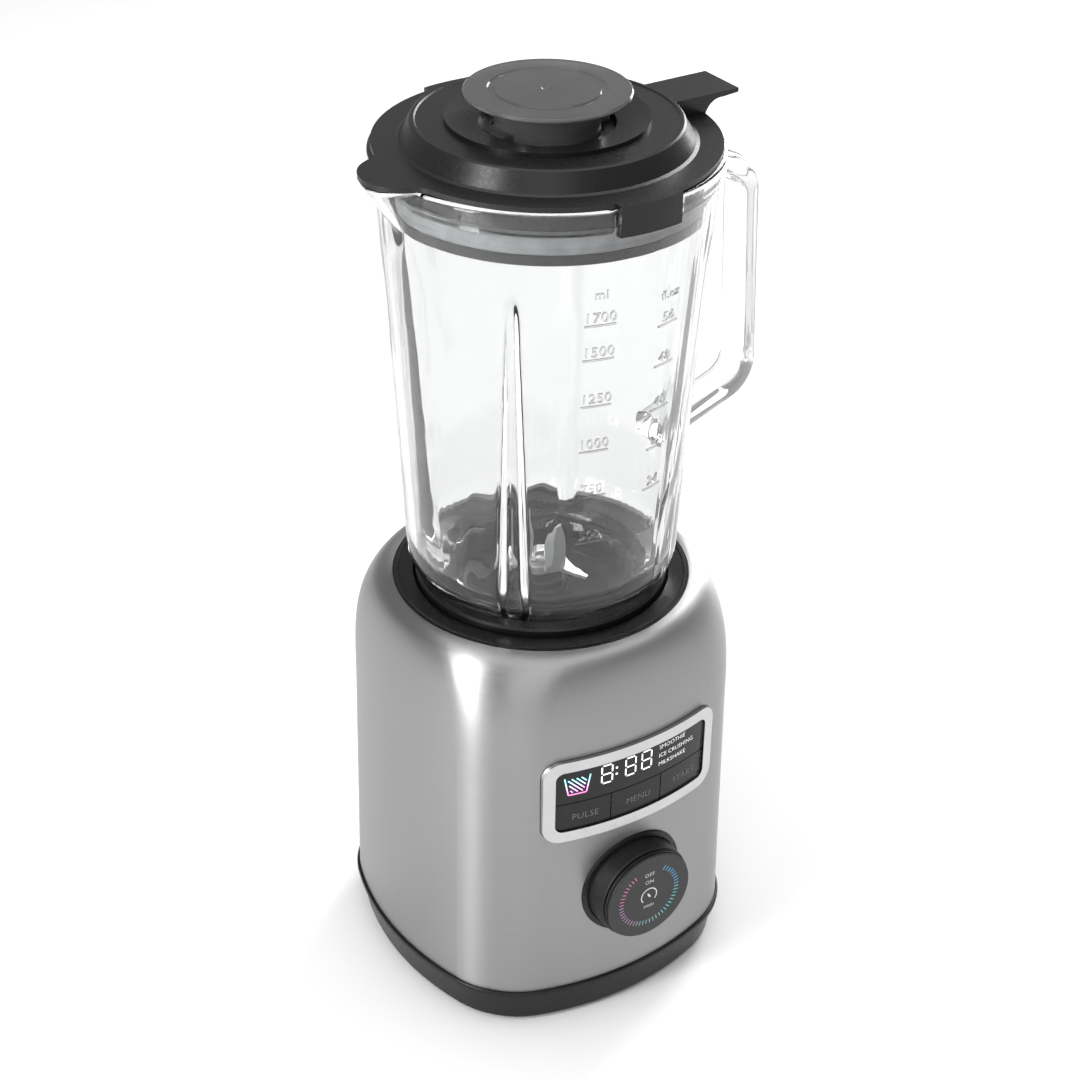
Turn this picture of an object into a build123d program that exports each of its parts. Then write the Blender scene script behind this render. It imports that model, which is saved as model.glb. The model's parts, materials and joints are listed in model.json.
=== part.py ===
"""A countertop blender: motor base, lift-off glass jar, blades, lid, measuring cup and controls.

The frame has its origin on the motor's axis at the level of the floor. +Z is up, the control
panel faces -Y, the jar's handle is on +X and its spout on -X. Lengths are in millimetres.
"""

from build123d import *
from math import cos, hypot, radians, sin, sqrt, tan
import os

os.makedirs("parts", exist_ok=True)

# ---------------------------------------------------------------- driving sizes
# Base, from the floor up
foot_drop = 2.0  # the rubber feet stand this far below the tray
tray_height = 19.1
wall_height = 116.7  # near-upright part of the steel
shoulder_height = 61.8  # from there to the deck that the jar stands in
base_margin = 24.4  # from the jar's collar out to the steel's lower edge
wall_lean = 1.6  # the steel is this much narrower where the shoulder starts
tray_lean = 2.6  # the tray's underside is this much narrower than the steel's lower edge
deck_margin = 9.0  # round upper end of the shoulder, outside the jar's collar
corner_share = 0.55  # corner radius over half width in the rounded square plan
bow_angle = 18.8  # half of the angle that each bowed side turns through
shoulder_power = 3.44  # squareness of the shoulder's profile
steel = 1.2  # thickness of the steel skin
tray_wall = 2.6
lip_proud = 1.4  # the tray's lip stands out from the steel
lip_height = 2.2

# Jar
jar_lift = 3.8  # the jar's collar stands this far above the deck
collar_radius = 57.1
socket_depth = 32.0  # from the deck to the floor of the socket
collar_wall = 11.1  # from the glass's neck to the outside of the collar
neck_wall = 8.0
neck_length = 19.4
foot_flare = 3.5  # where the glass leaves the collar, outside its neck
foot_reach = 11.3  # from there to the glass's upright wall
jar_lean = 11.3  # the rim is this much wider than the foot
jar_belly = 5.04  # the same at half height, which makes the wall's slight curve
jar_height = 201.0  # glass above the collar
foot_rise = 13.6  # height of the glass's rounded foot
glass = 4.1  # wall of the jar
rim_height = 8.9
rim_proud = 1.5
spout_radius = 17.7
spout_out = 13.6  # the spout's tip, outside the rim
spout_height = 24.0
rib_radius = 6.4
rib_tip_radius = 2.5
rib_height = 158.0
handle_width = 19.0
handle_thickness = 10.2
handle_out = 35.2  # the grip's middle, outside the rim
handle_top_drop = 31.4  # from the rim to the handle's upper corner
handle_length = 102.5

# Lid and cup
flange_thickness = 2.2
crown_height = 8.7
flange_width = 11.6  # from the jar's rim in to the foot of the crown
crown_bevel = 4.3
inner_disc_radius = 42.1
inner_disc_rise = 1.2
well_width = 4.6  # step round the cup's hole that its lugs stand on
skirt_depth = 24.0
skirt_gap = 3.5  # between the skirt and the glass, filled by the seal
lid_wall = 2.2
clip_width = 29.0
clip_depth = 13.0
tab_width = 23.5
tab_out = 15.9  # the tab's tip, outside the rim
tab_rise = 7.7
cup_disc_radius = 34.5
cup_disc_thickness = 2.3
cup_rise = 12.1  # from the crown to the top of the cup
cup_neck_radius = 22.3
cup_depth = 42.0
cup_wall = 1.6

# Control panel
panel_width = 92.0
panel_height = 44.0
panel_rise = 108.9  # height of its middle above the tray
panel_border = 5.5
panel_corner = 8.5
panel_proud = 2.0
panel_sink = 4.0
key_height = 15.0
key_gap = 0.5
key_travel = 0.8
knob_rise = 51.1  # height of the knob's axis above the tray
knob_radius = 24.0
knob_trim = 2.5  # width of the ring that the knob stands in
knob_lip = 1.6  # the knob's face is this much smaller than the knob
knob_proud = 13.0
knob_travel = 1.5
hub_radius = 8.0

# Motor
shaft_radius = 4.0
stack_height = 40.0
armature_radius = 24.7
air_gap = 0.6
commutator_radius = 13.0
bolt_radius = 2.0
bolt_circle = 44.0
bracket_thickness = 8.0
fan_radius = 35.5

# Clearances
slack = 0.3  # between pieces of different bodies
seat = 0.2  # between pieces of one body
running = 0.04  # radial, in bearings

# ---------------------------------------------------------------- radii, levels and places
base_half = collar_radius + base_margin  # half width of the steel at its lower edge
tray_half = base_half - tray_lean
waist_half = base_half - wall_lean
deck_radius = collar_radius + deck_margin
neck_radius = collar_radius - collar_wall
neck_bore = neck_radius - neck_wall
jar_foot_radius = neck_radius + foot_flare
jar_low_radius = jar_foot_radius + foot_reach
jar_mid_radius = jar_low_radius + jar_belly
jar_top_radius = jar_low_radius + jar_lean
spout_reach = jar_top_radius + spout_out
handle_reach = jar_top_radius + handle_out
tab_reach = jar_top_radius + tab_out
crown_foot_radius = jar_top_radius - flange_width
crown_radius = crown_foot_radius - crown_bevel
skirt_radius = jar_top_radius - glass - skirt_gap
cup_hole_radius = cup_neck_radius + 0.7
well_radius = cup_hole_radius + well_width

tray_z = foot_drop
steel_z = tray_z + tray_height
shoulder_z = steel_z + wall_height
deck_z = shoulder_z + shoulder_height
collar_z = deck_z + jar_lift
socket_z = deck_z - socket_depth
jar_foot_z = socket_z + slack
neck_z = collar_z - neck_length
rim_z = collar_z + jar_height
flange_z = rim_z + slack
crown_z = flange_z + flange_thickness + crown_height
cup_top_z = crown_z + cup_rise
panel_middle = steel_z + panel_rise
knob_height = steel_z + knob_rise
knob_base_radius = knob_radius + knob_trim
knob_face_radius = knob_radius - knob_lip

bow_half = radians(bow_angle)
corner_grow = 1 + tan(bow_half / 2)


def corner_of(half, share=corner_share):
    """Corner radius of a rounded square of this half width."""
    return half * share


def bow_of(half, corner):
    """Radius of the bowed sides that meet the corners tangentially."""
    return corner + (half - corner) / corner_grow / sin(bow_half)


def rounded_square(z, half, corner):
    """A square with four bowed sides and four round corners, all tangent arcs, at height z."""
    reach = (half - corner) / corner_grow
    bow = bow_of(half, corner)
    with BuildSketch(Plane.XY.offset(z)) as outline:
        with BuildLine():
            for turn in (0, 90, 180, 270):
                side = Vector(half - bow, 0).rotate(Axis.Z, turn)
                middle = Vector(reach, reach).rotate(Axis.Z, turn)
                CenterArc(side, bow, turn - bow_angle, 2 * bow_angle)
                CenterArc(middle, corner, turn + bow_angle, 90 - 2 * bow_angle)
        make_face()
    return outline.sketch


def shoulder_point(turn):
    """Shares of the shoulder's inward and upward size, at a turn of 0 to 90 degrees."""
    in_share = abs(cos(radians(turn))) ** (2 / shoulder_power)
    up_share = sin(radians(turn)) ** (2 / shoulder_power)
    return (0.0 if turn == 90 else in_share), up_share


def even_turns(steps):
    """Turns that cut the shoulder's profile into steps of equal length."""
    fine = [90 * n / 4000 for n in range(4001)]
    lengths = [0.0]
    for before, after in zip(fine, fine[1:]):
        in_low, up_low = shoulder_point(before)
        in_high, up_high = shoulder_point(after)
        inward = (in_high - in_low) * (waist_half - deck_radius)
        upward = (up_high - up_low) * shoulder_height
        lengths.append(lengths[-1] + hypot(inward, upward))
    turns = []
    for step in range(steps + 1):
        wanted = lengths[-1] * step / steps
        turns.append(min(zip(lengths, fine), key=lambda pair: abs(pair[0] - wanted))[1])
    return turns


def wall_sections(inset):
    """Plan sections of the near-upright part of the steel, moved inward by inset."""
    return [
        rounded_square(steel_z, base_half - inset, corner_of(base_half) - inset),
        rounded_square(shoulder_z, waist_half - inset, corner_of(waist_half) - inset),
    ]


def shoulder_sections(inset):
    """Plan sections of the shoulder, from a rounded square to a circle at the deck."""
    sections = []
    for turn in shoulder_turns:
        in_share, up_share = shoulder_point(turn)
        half = deck_radius + (waist_half - deck_radius) * in_share
        corner = half * (1 - (1 - corner_share) * in_share**3.4)
        corner = min(corner, half - 0.3) - inset
        height = shoulder_z + (shoulder_height - inset) * up_share
        sections.append(rounded_square(height, half - inset, corner))
    return sections


shoulder_turns = even_turns(16)


def front_band(outer, inner):
    """Radii of the upright cylinders that follow the front: outer and inner of the waist's face."""
    bow = bow_of(waist_half, corner_of(waist_half))
    return bow + outer, bow - inner


front_axis_y = bow_of(waist_half, corner_of(waist_half)) - waist_half


def follow_front(z, height, outer, inner):
    """A block between two cylinders that follow the steel's front face, for use as a common."""
    large, small = front_band(outer, inner)
    with BuildPart() as band:
        with BuildSketch(Plane.XY.offset(z)):
            with Locations((0, front_axis_y)):
                Circle(large)
                Circle(small, mode=Mode.SUBTRACT)
            with Locations((0, -waist_half)):
                Rectangle(2 * base_half, base_half, mode=Mode.INTERSECT)
        extrude(amount=height)
    return band.part


def finish(builder, node):
    """Label a finished piece and write it as parts/node.step."""
    builder.part.label = node
    export_step(builder.part, f"parts/{node}.step")


# ---------------------------------------------------------------- steel housing
panel_hole_width = panel_width + 2 * seat
panel_hole_height = panel_height + 2 * seat
gland_radius = 9.0
gland_z = steel_z + 24.0
deck_hole = deck_radius + 1.4

with BuildPart() as housing_shell:
    loft(wall_sections(0), ruled=True)
    loft(shoulder_sections(0))
    loft(wall_sections(steel), ruled=True, mode=Mode.SUBTRACT)
    loft(shoulder_sections(steel), mode=Mode.SUBTRACT)
    with BuildSketch(Plane.XY.offset(deck_z - 6)):
        Circle(deck_hole)
    extrude(amount=8, mode=Mode.SUBTRACT)
    with BuildSketch(Plane.XZ.offset(waist_half - 20)):
        with Locations((0, panel_middle)):
            RectangleRounded(panel_hole_width, panel_hole_height, panel_corner + seat)
        with Locations((0, knob_height)):
            Circle(knob_base_radius + seat)
    extrude(amount=40, mode=Mode.SUBTRACT)
    with BuildSketch(Plane.XZ.offset(-waist_half - 10)):
        with Locations((0, gland_z)):
            Circle(gland_radius)
    extrude(amount=30, mode=Mode.SUBTRACT)
finish(housing_shell, "housing_shell")

# ---------------------------------------------------------------- deck collar with the jar's socket
deck_rise = 0.4
flange_radius = deck_hole - seat
ledge_radius = flange_radius + 2.0
ledge_z = deck_z - 7.0
socket_radius = collar_radius + 0.4
socket_wall = 3.0
socket_floor = 4.0
pocket_radius = 19.0  # pocket in the socket's floor for the drive coupling
pocket_z = socket_z - 11.7
pocket_floor = 3.5
column_x = 55.0
column_y = 32.0
column_radius = 5.2
column_foot_z = 60.0
post_length = 22.7  # from the socket's floor down to the motor's rubber mounts
mount_height = 5.0
mount_z = socket_z - socket_floor - post_length - mount_height
post_radius = 6.0
gasket_groove = 0.8

with BuildPart() as base_collar:
    with BuildSketch(Plane.XZ):
        with BuildLine():
            Polyline(
                (shaft_radius + 2, pocket_z - pocket_floor),
                (pocket_radius + socket_wall, pocket_z - pocket_floor),
                (pocket_radius + socket_wall, socket_z - socket_floor),
                (socket_radius + socket_wall, socket_z - socket_floor),
                (socket_radius + socket_wall, ledge_z),
                (ledge_radius, ledge_z),
                (ledge_radius, ledge_z + 3),
                (flange_radius, ledge_z + 3),
                (flange_radius, deck_z + deck_rise),
                (socket_radius + 0.8, deck_z + deck_rise),
                (socket_radius, deck_z + deck_rise - 0.8),
                (socket_radius, socket_z),
                (pocket_radius, socket_z),
                (pocket_radius, pocket_z),
                (shaft_radius + 2, pocket_z),
                close=True,
            )
        make_face()
    revolve(axis=Axis.Z)
    # Groove for the thin gasket near the flange's edge
    with BuildSketch(Plane.XY.offset(deck_z + deck_rise - gasket_groove)):
        Circle(flange_radius - 0.9)
        Circle(flange_radius - 2.5, mode=Mode.SUBTRACT)
    extrude(amount=gasket_groove, mode=Mode.SUBTRACT)
    # Columns that the tray is screwed to, and posts that carry the motor
    with BuildSketch(Plane.XY.offset(column_foot_z)):
        with GridLocations(2 * column_x, 2 * column_y, 2, 2):
            Circle(column_radius)
    extrude(amount=ledge_z + 1 - column_foot_z)
    with BuildSketch(Plane.XY.offset(mount_z + mount_height)):
        with PolarLocations(bolt_circle, 4, start_angle=45):
            Circle(post_radius)
    extrude(amount=socket_z - socket_floor + 1 - mount_z - mount_height)
    with BuildSketch(Plane.XY.offset(column_foot_z)):
        with GridLocations(2 * column_x, 2 * column_y, 2, 2):
            Circle(bolt_radius)
    extrude(amount=20, mode=Mode.SUBTRACT)
    with BuildSketch(Plane.XY.offset(mount_z + mount_height)):
        with PolarLocations(bolt_circle, 4, start_angle=45):
            Circle(bolt_radius)
    extrude(amount=15, mode=Mode.SUBTRACT)
    # The columns and the socket's wall stay out of the socket
    with BuildSketch(Plane.XY.offset(socket_z)):
        Circle(socket_radius)
    extrude(amount=socket_depth - 2, mode=Mode.SUBTRACT)
finish(base_collar, "base_collar")

with BuildPart() as collar_gasket:
    with BuildSketch(Plane.XY.offset(deck_z + deck_rise - gasket_groove)):
        Circle(flange_radius - 1.0)
        Circle(flange_radius - 2.4, mode=Mode.SUBTRACT)
    extrude(amount=gasket_groove + 0.4)
    fillet(collar_gasket.edges().group_by(Axis.Z)[-1], 0.3)
finish(collar_gasket, "collar_gasket")

# ---------------------------------------------------------------- tray, feet and screws
tray_floor = 3.0
spigot_height = 6.0
foot_radius = 11.0
foot_x = 48.0
foot_y = 52.0
foot_sink = 1.5
stem_radius = 3.0
lip_half = base_half + lip_proud
spigot_half = base_half - steel - slack

with BuildPart() as base_tray:
    loft(
        [
            rounded_square(tray_z, tray_half, corner_of(tray_half)),
            rounded_square(steel_z - lip_height, base_half - 0.6, corner_of(base_half) - 0.6),
        ],
        ruled=True,
    )
    fillet(base_tray.edges().group_by(Axis.Z)[0], 1.6)
    with BuildSketch(Plane.XY.offset(steel_z - lip_height)):
        add(rounded_square(0, lip_half, corner_of(base_half) + lip_proud))
    extrude(amount=lip_height)
    fillet(base_tray.edges().group_by(Axis.Z)[-1], 0.8)
    with BuildSketch(Plane.XY.offset(steel_z)):
        add(rounded_square(0, spigot_half, corner_of(base_half) - steel - slack))
    extrude(amount=spigot_height)
    with BuildSketch(Plane.XY.offset(tray_z + tray_floor)):
        add(
            rounded_square(
                0, tray_half - tray_wall - 1, corner_of(tray_half) - tray_wall - 1
            )
        )
    extrude(amount=tray_height + spigot_height, mode=Mode.SUBTRACT)
    # Columns for the screws
    with BuildSketch(Plane.XY.offset(tray_z + tray_floor - 1)):
        with GridLocations(2 * column_x, 2 * column_y, 2, 2):
            Circle(column_radius)
    extrude(amount=column_foot_z - tray_z - tray_floor + 1)
    with BuildSketch(Plane.XY.offset(tray_z)):
        with GridLocations(2 * column_x, 2 * column_y, 2, 2):
            Circle(bolt_radius + seat)
    extrude(amount=column_foot_z, mode=Mode.SUBTRACT)
    with BuildSketch(Plane.XY.offset(tray_z)):
        with GridLocations(2 * column_x, 2 * column_y, 2, 2):
            Circle(2 * bolt_radius + slack)
        with GridLocations(2 * foot_x, 2 * foot_y, 2, 2):
            Circle(foot_radius + seat)
    extrude(amount=foot_sink, mode=Mode.SUBTRACT)
    with BuildSketch(Plane.XY.offset(tray_z)):
        with GridLocations(2 * foot_x, 2 * foot_y, 2, 2):
            Circle(stem_radius + seat)
        # Air inlet: slots under the fan
        with GridLocations(0, 8, 1, 7):
            SlotOverall(52, 3.4)
    extrude(amount=tray_floor, mode=Mode.SUBTRACT)
finish(base_tray, "base_tray")

for number, (x, y) in enumerate(
    ((-foot_x, -foot_y), (foot_x, -foot_y), (foot_x, foot_y), (-foot_x, foot_y)), 1
):
    with BuildPart() as rubber_foot:
        with BuildSketch(Plane.XY):
            with Locations((x, y)):
                Circle(foot_radius)
        extrude(amount=foot_drop + foot_sink)
        fillet(rubber_foot.edges().group_by(Axis.Z)[0], 0.8)
        with BuildSketch(Plane.XY.offset(foot_drop + foot_sink)):
            with Locations((x, y)):
                Circle(stem_radius)
        extrude(amount=tray_floor)
    finish(rubber_foot, f"rubber_foot_{number}")

with BuildPart() as tray_screws:
    with BuildSketch(Plane.XY.offset(tray_z + 0.2)):
        with GridLocations(2 * column_x, 2 * column_y, 2, 2):
            Circle(2 * bolt_radius)
    extrude(amount=foot_sink - 0.2)
    with BuildSketch(Plane.XY.offset(tray_z + foot_sink)):
        with GridLocations(2 * column_x, 2 * column_y, 2, 2):
            Circle(bolt_radius - 0.05)
    extrude(amount=column_foot_z + 12 - tray_z)
finish(tray_screws, "tray_screws")

# ---------------------------------------------------------------- display panel
window_width = panel_width - 2 * panel_border
window_height = panel_height - 2 * panel_border
window_corner = 4.0
window_low = panel_middle - window_height / 2
key_top = window_low + key_height
glass_level = 0.9  # how far the display's face stands out from the steel
panel_bottom = panel_middle - panel_height / 2 - 1


def panel_slab(outer, inner):
    """Part of the front band at the panel's height."""
    return follow_front(panel_bottom, panel_height + 2, outer, inner)


with BuildPart() as display_bezel:
    with BuildSketch(Plane.XZ.offset(waist_half - 20)):
        with Locations((0, panel_middle)):
            RectangleRounded(panel_width, panel_height, panel_corner)
            RectangleRounded(window_width, window_height, window_corner, mode=Mode.SUBTRACT)
    extrude(amount=40)
    add(panel_slab(panel_proud, panel_sink), mode=Mode.INTERSECT)
finish(display_bezel, "display_bezel")

with BuildPart() as display_window:
    with BuildSketch(Plane.XZ.offset(waist_half - 20)):
        with Locations((0, panel_middle)):
            RectangleRounded(
                window_width - 2 * seat, window_height - 2 * seat, window_corner - seat
            )
        with Locations((0, key_top)):
            Rectangle(
                panel_width,
                window_height,
                align=(Align.CENTER, Align.MIN),
                mode=Mode.INTERSECT,
            )
    extrude(amount=40)
    add(panel_slab(glass_level, panel_sink - 0.5), mode=Mode.INTERSECT)
finish(display_window, "display_window")

board_y = waist_half - 13.0  # distance of the display board's front in front of the axis
board_thickness = 1.6
switch_height = 2.5
switch_size = 6.0
key_width = window_width / 3
key_middle = window_low + key_height / 2

with BuildPart() as display_board:
    with BuildSketch(Plane.XZ.offset(board_y - board_thickness)):
        with Locations((0, panel_middle)):
            RectangleRounded(window_width - 4, window_height + 2, 2)
    extrude(amount=board_thickness)
finish(display_board, "display_board")

with BuildPart() as tact_switches:
    with BuildSketch(Plane.XZ.offset(board_y)):
        with Locations((0, key_middle)):
            with GridLocations(key_width, 0, 3, 1):
                Rectangle(switch_size, switch_size)
    extrude(amount=switch_height)
    with BuildSketch(Plane.XZ.offset(board_y + switch_height)):
        with Locations((0, key_middle)):
            with GridLocations(key_width, 0, 3, 1):
                Circle(1.6)
    extrude(amount=0.8)
finish(tact_switches, "tact_switches")

key_stem_end = board_y + switch_height + 0.8 + key_travel + 0.2
for place, name in ((-1, "pulse"), (0, "menu"), (1, "start")):
    with BuildPart() as key:
        with BuildSketch(Plane.XZ.offset(waist_half - 20)):
            with Locations((0, panel_middle)):
                RectangleRounded(
                    window_width - 2 * slack, window_height - 2 * slack, window_corner - slack
                )
            with Locations((place * key_width, key_top - key_gap)):
                Rectangle(
                    key_width - key_gap,
                    key_height,
                    align=(Align.CENTER, Align.MAX),
                    mode=Mode.INTERSECT,
                )
        extrude(amount=40)
        add(panel_slab(glass_level, panel_sink - 0.5), mode=Mode.INTERSECT)
        with BuildSketch(Plane.XZ.offset(key_stem_end)):
            with Locations((place * key_width, key_middle)):
                Circle(2.2)
        extrude(amount=waist_half - panel_sink + 2 - key_stem_end)
    finish(key, f"button_{name}")

# ---------------------------------------------------------------- speed knob
knob_front = waist_half + 0.9 + knob_proud  # distance of the knob's face in front of the axis
knob_cup_back = waist_half - 14.0
cap_thickness = 2.6
face_thickness = 1.2
ring_gap = 0.6
ring_front = knob_front - cap_thickness - ring_gap
ring_back = waist_half - 2.2
encoder_half = 7.0
band_bottom = knob_height - knob_base_radius - 1


def knob_disc(distance, radius, depth):
    """A disc on the knob's axis that starts this far in front of the motor's axis."""
    with BuildPart() as disc:
        with BuildSketch(Plane.XZ.offset(distance)):
            with Locations((0, knob_height)):
                Circle(radius)
        extrude(amount=depth)
    return disc.part


with BuildPart() as knob_bezel:
    add(knob_disc(knob_cup_back, knob_base_radius, 30))
    add(
        follow_front(band_bottom, 2 * knob_base_radius + 2, 1.9, 20),
        mode=Mode.INTERSECT,
    )
    add(knob_disc(knob_cup_back + 2, knob_radius + slack, 30), mode=Mode.SUBTRACT)
    add(knob_disc(knob_cup_back - 1, hub_radius / 2 + 1, 10), mode=Mode.SUBTRACT)
finish(knob_bezel, "knob_bezel")

with BuildPart() as encoder_body:
    with BuildSketch(Plane.XZ.offset(knob_cup_back - 8)):
        with Locations((0, knob_height)):
            RectangleRounded(2 * encoder_half, 2 * encoder_half, 1)
    extrude(amount=8)
    add(knob_disc(knob_cup_back - 8, 4.6, 12))
    add(knob_disc(knob_cup_back - 6, 3 + running, 20), mode=Mode.SUBTRACT)
finish(encoder_body, "encoder_body")

with BuildPart() as knob_face:
    add(knob_disc(knob_front - face_thickness, knob_face_radius, face_thickness))
    fillet(knob_face.faces().sort_by(Axis.Y)[0].edges(), 0.4)
finish(knob_face, "knob_face")

with BuildPart() as knob_core:
    add(
        knob_disc(
            knob_front - cap_thickness,
            knob_face_radius + 0.4,
            cap_thickness - face_thickness,
        )
    )
    add(knob_disc(knob_cup_back + 8, hub_radius, knob_front - cap_thickness - knob_cup_back - 8))
    add(knob_disc(knob_cup_back - 6 + knob_travel + 0.5, 3.0, 20))
finish(knob_core, "knob_core")

with BuildPart() as knob_ring:
    with BuildSketch(Plane.XZ.offset(ring_back)):
        with Locations((0, knob_height)):
            Circle(knob_radius)
    extrude(amount=ring_front - ring_back, taper=2.0)
    fillet(knob_ring.faces().sort_by(Axis.Y)[0].edges(), 0.7)
    add(knob_disc(ring_back - 1, knob_radius - 3.5, ring_front - ring_back - 3), mode=Mode.SUBTRACT)
    add(knob_disc(ring_back - 1, hub_radius + running, 30), mode=Mode.SUBTRACT)
finish(knob_ring, "knob_ring")

# ---------------------------------------------------------------- motor, fixed parts
upper_bracket_z = mount_z - bracket_thickness
stack_top = upper_bracket_z - 32.0
stack_bottom = stack_top - stack_height
stator_width = 92.0
stator_depth = 78.0
pole_half = 18.0
coil_band = 9.0
coil_low_x = 27.5
coil_high_x = 35.0
bore_radius = armature_radius + air_gap
lower_bracket_z = stack_bottom - 18.0
bearing_radius = 11.0
bearing_depth = 7.0
leg_radius = 3.8

with BuildPart() as motor_stator:
    with BuildSketch(Plane.XY.offset(stack_bottom)):
        RectangleRounded(stator_width, stator_depth, 8)
        Rectangle(
            2 * coil_high_x + 2 * seat, 2 * (pole_half + coil_band) + 2 * seat, mode=Mode.SUBTRACT
        )
        with GridLocations(2 * coil_low_x, 0, 2, 1):
            Rectangle(2 * (coil_high_x - coil_low_x) + 3, 2 * pole_half)
        Circle(bore_radius, mode=Mode.SUBTRACT)
        with PolarLocations(bolt_circle, 4, start_angle=45):
            Circle(bolt_radius + seat, mode=Mode.SUBTRACT)
    extrude(amount=stack_height)
finish(motor_stator, "motor_stator")

for side, name in ((-1, "left"), (1, "right")):
    with BuildPart() as field_coil:
        with BuildSketch(Plane.YZ.offset(coil_low_x if side > 0 else -coil_high_x)):
            with Locations((0, stack_bottom + stack_height / 2)):
                RectangleRounded(
                    2 * (pole_half + coil_band), stack_height + 2 * coil_band, coil_band
                )
                Rectangle(2 * pole_half + 2 * seat, stack_height + 1, mode=Mode.SUBTRACT)
        extrude(amount=coil_high_x - coil_low_x)
        fillet(field_coil.edges().filter_by(GeomType.CIRCLE), 2.0)
    finish(field_coil, f"field_coil_{name}")


def motor_bracket(plate_z, leg_from, leg_to):
    """A four-armed plate with a bearing pocket, and legs that reach the stator."""
    with BuildPart() as bracket:
        with BuildSketch(Plane.XY.offset(plate_z)):
            Circle(bearing_radius + 4)
            with PolarLocations(bolt_circle / 2, 4, start_angle=45):
                Rectangle(bolt_circle, 2 * post_radius)
            with PolarLocations(bolt_circle, 4, start_angle=45):
                Circle(post_radius)
        extrude(amount=bracket_thickness)
        with BuildSketch(Plane.XY.offset(leg_from)):
            with PolarLocations(bolt_circle, 4, start_angle=45):
                Circle(leg_radius)
        extrude(amount=leg_to - leg_from)
        with BuildSketch(Plane.XY.offset(min(plate_z, leg_from))):
            with PolarLocations(bolt_circle, 4, start_angle=45):
                Circle(bolt_radius + seat)
            Circle(bearing_radius - 2)
        extrude(amount=bracket_thickness + leg_to - leg_from, mode=Mode.SUBTRACT)
        with BuildSketch(Plane.XY.offset(plate_z + bracket_thickness - bearing_depth)):
            Circle(bearing_radius)
        extrude(amount=bearing_depth, mode=Mode.SUBTRACT)
    return bracket


motor_bracket_lower = motor_bracket(
    lower_bracket_z, lower_bracket_z + bracket_thickness, stack_bottom
)
finish(motor_bracket_lower, "motor_bracket_lower")
motor_bracket_upper = motor_bracket(upper_bracket_z, stack_top, upper_bracket_z)
finish(motor_bracket_upper, "motor_bracket_upper")

for name, bracket_z in (("lower", lower_bracket_z), ("upper", upper_bracket_z)):
    with BuildPart() as bearing:
        with BuildSketch(Plane.XY.offset(bracket_z + bracket_thickness - bearing_depth)):
            Circle(bearing_radius - 0.05)
            Circle(shaft_radius + running, mode=Mode.SUBTRACT)
        extrude(amount=bearing_depth)
        with BuildSketch(Plane.XY.offset(bracket_z + bracket_thickness)):
            Circle(bearing_radius - 1.8)
            Circle(bearing_radius - 4.2, mode=Mode.SUBTRACT)
        extrude(amount=-0.6, mode=Mode.SUBTRACT)
    finish(bearing, f"bearing_{name}")

brush_z = stack_top + 20.0
with BuildPart() as carbon_brushes:
    with BuildSketch(Plane.XY.offset(brush_z - 3)):
        with GridLocations(0, 2 * commutator_radius + slack * 2 + 11, 1, 2):
            Rectangle(7, 11)
    extrude(amount=6)
finish(carbon_brushes, "carbon_brushes")

with BuildPart() as brush_holders:
    with BuildSketch(Plane.XY.offset(brush_z - 4.2)):
        with GridLocations(0, 2 * commutator_radius + 22, 1, 2):
            Rectangle(9.4, 16)
    extrude(amount=upper_bracket_z - brush_z + 4.2)
    with BuildSketch(Plane.XY.offset(brush_z - 3.2)):
        with GridLocations(0, 2 * commutator_radius + 22, 1, 2):
            Rectangle(7.4, 17)
    extrude(amount=6.4, mode=Mode.SUBTRACT)
finish(brush_holders, "brush_holders")

with BuildPart() as motor_mounts:
    with BuildSketch(Plane.XY.offset(mount_z)):
        with PolarLocations(bolt_circle, 4, start_angle=45):
            Circle(post_radius)
            Circle(bolt_radius + seat, mode=Mode.SUBTRACT)
    extrude(amount=mount_height)
finish(motor_mounts, "motor_mounts")

with BuildPart() as motor_screws:
    with BuildSketch(Plane.XY.offset(lower_bracket_z - 3)):
        with PolarLocations(bolt_circle, 4, start_angle=45):
            Circle(2 * bolt_radius)
    extrude(amount=3)
    with BuildSketch(Plane.XY.offset(lower_bracket_z)):
        with PolarLocations(bolt_circle, 4, start_angle=45):
            Circle(bolt_radius - 0.05)
    extrude(amount=mount_z + mount_height + 12 - lower_bracket_z)
finish(motor_screws, "motor_screws")

fan_height = 14.0
fan_low_z = lower_bracket_z - 8.0 - fan_height
shroud_radius = fan_radius + 2.0
with BuildPart() as fan_shroud:
    with BuildSketch(Plane.XY.offset(fan_low_z - 3)):
        Circle(shroud_radius + 2)
        Circle(shroud_radius, mode=Mode.SUBTRACT)
    extrude(amount=lower_bracket_z - fan_low_z + 3)
    with BuildSketch(Plane.XY.offset(lower_bracket_z)):
        Circle(shroud_radius + 1)
        Circle(bearing_radius + 8, mode=Mode.SUBTRACT)
    extrude(amount=-2)
finish(fan_shroud, "fan_shroud")

board_back_y = 56.0
with BuildPart() as power_board:
    with BuildSketch(Plane.XZ.offset(-board_back_y)):
        with Locations((0, stack_bottom + 30)):
            RectangleRounded(84, 62, 2)
    extrude(amount=board_thickness)
finish(power_board, "power_board")

with BuildPart() as filter_capacitor:
    with BuildSketch(Plane.XZ.offset(-board_back_y)):
        with Locations((20, stack_bottom + 40)):
            RectangleRounded(26, 18, 1.5)
    extrude(amount=-11)
    with BuildSketch(Plane.XZ.offset(-board_back_y)):
        with Locations((-20, stack_bottom + 22)):
            Circle(6.5)
    extrude(amount=-10)
finish(filter_capacitor, "filter_capacitor")

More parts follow.
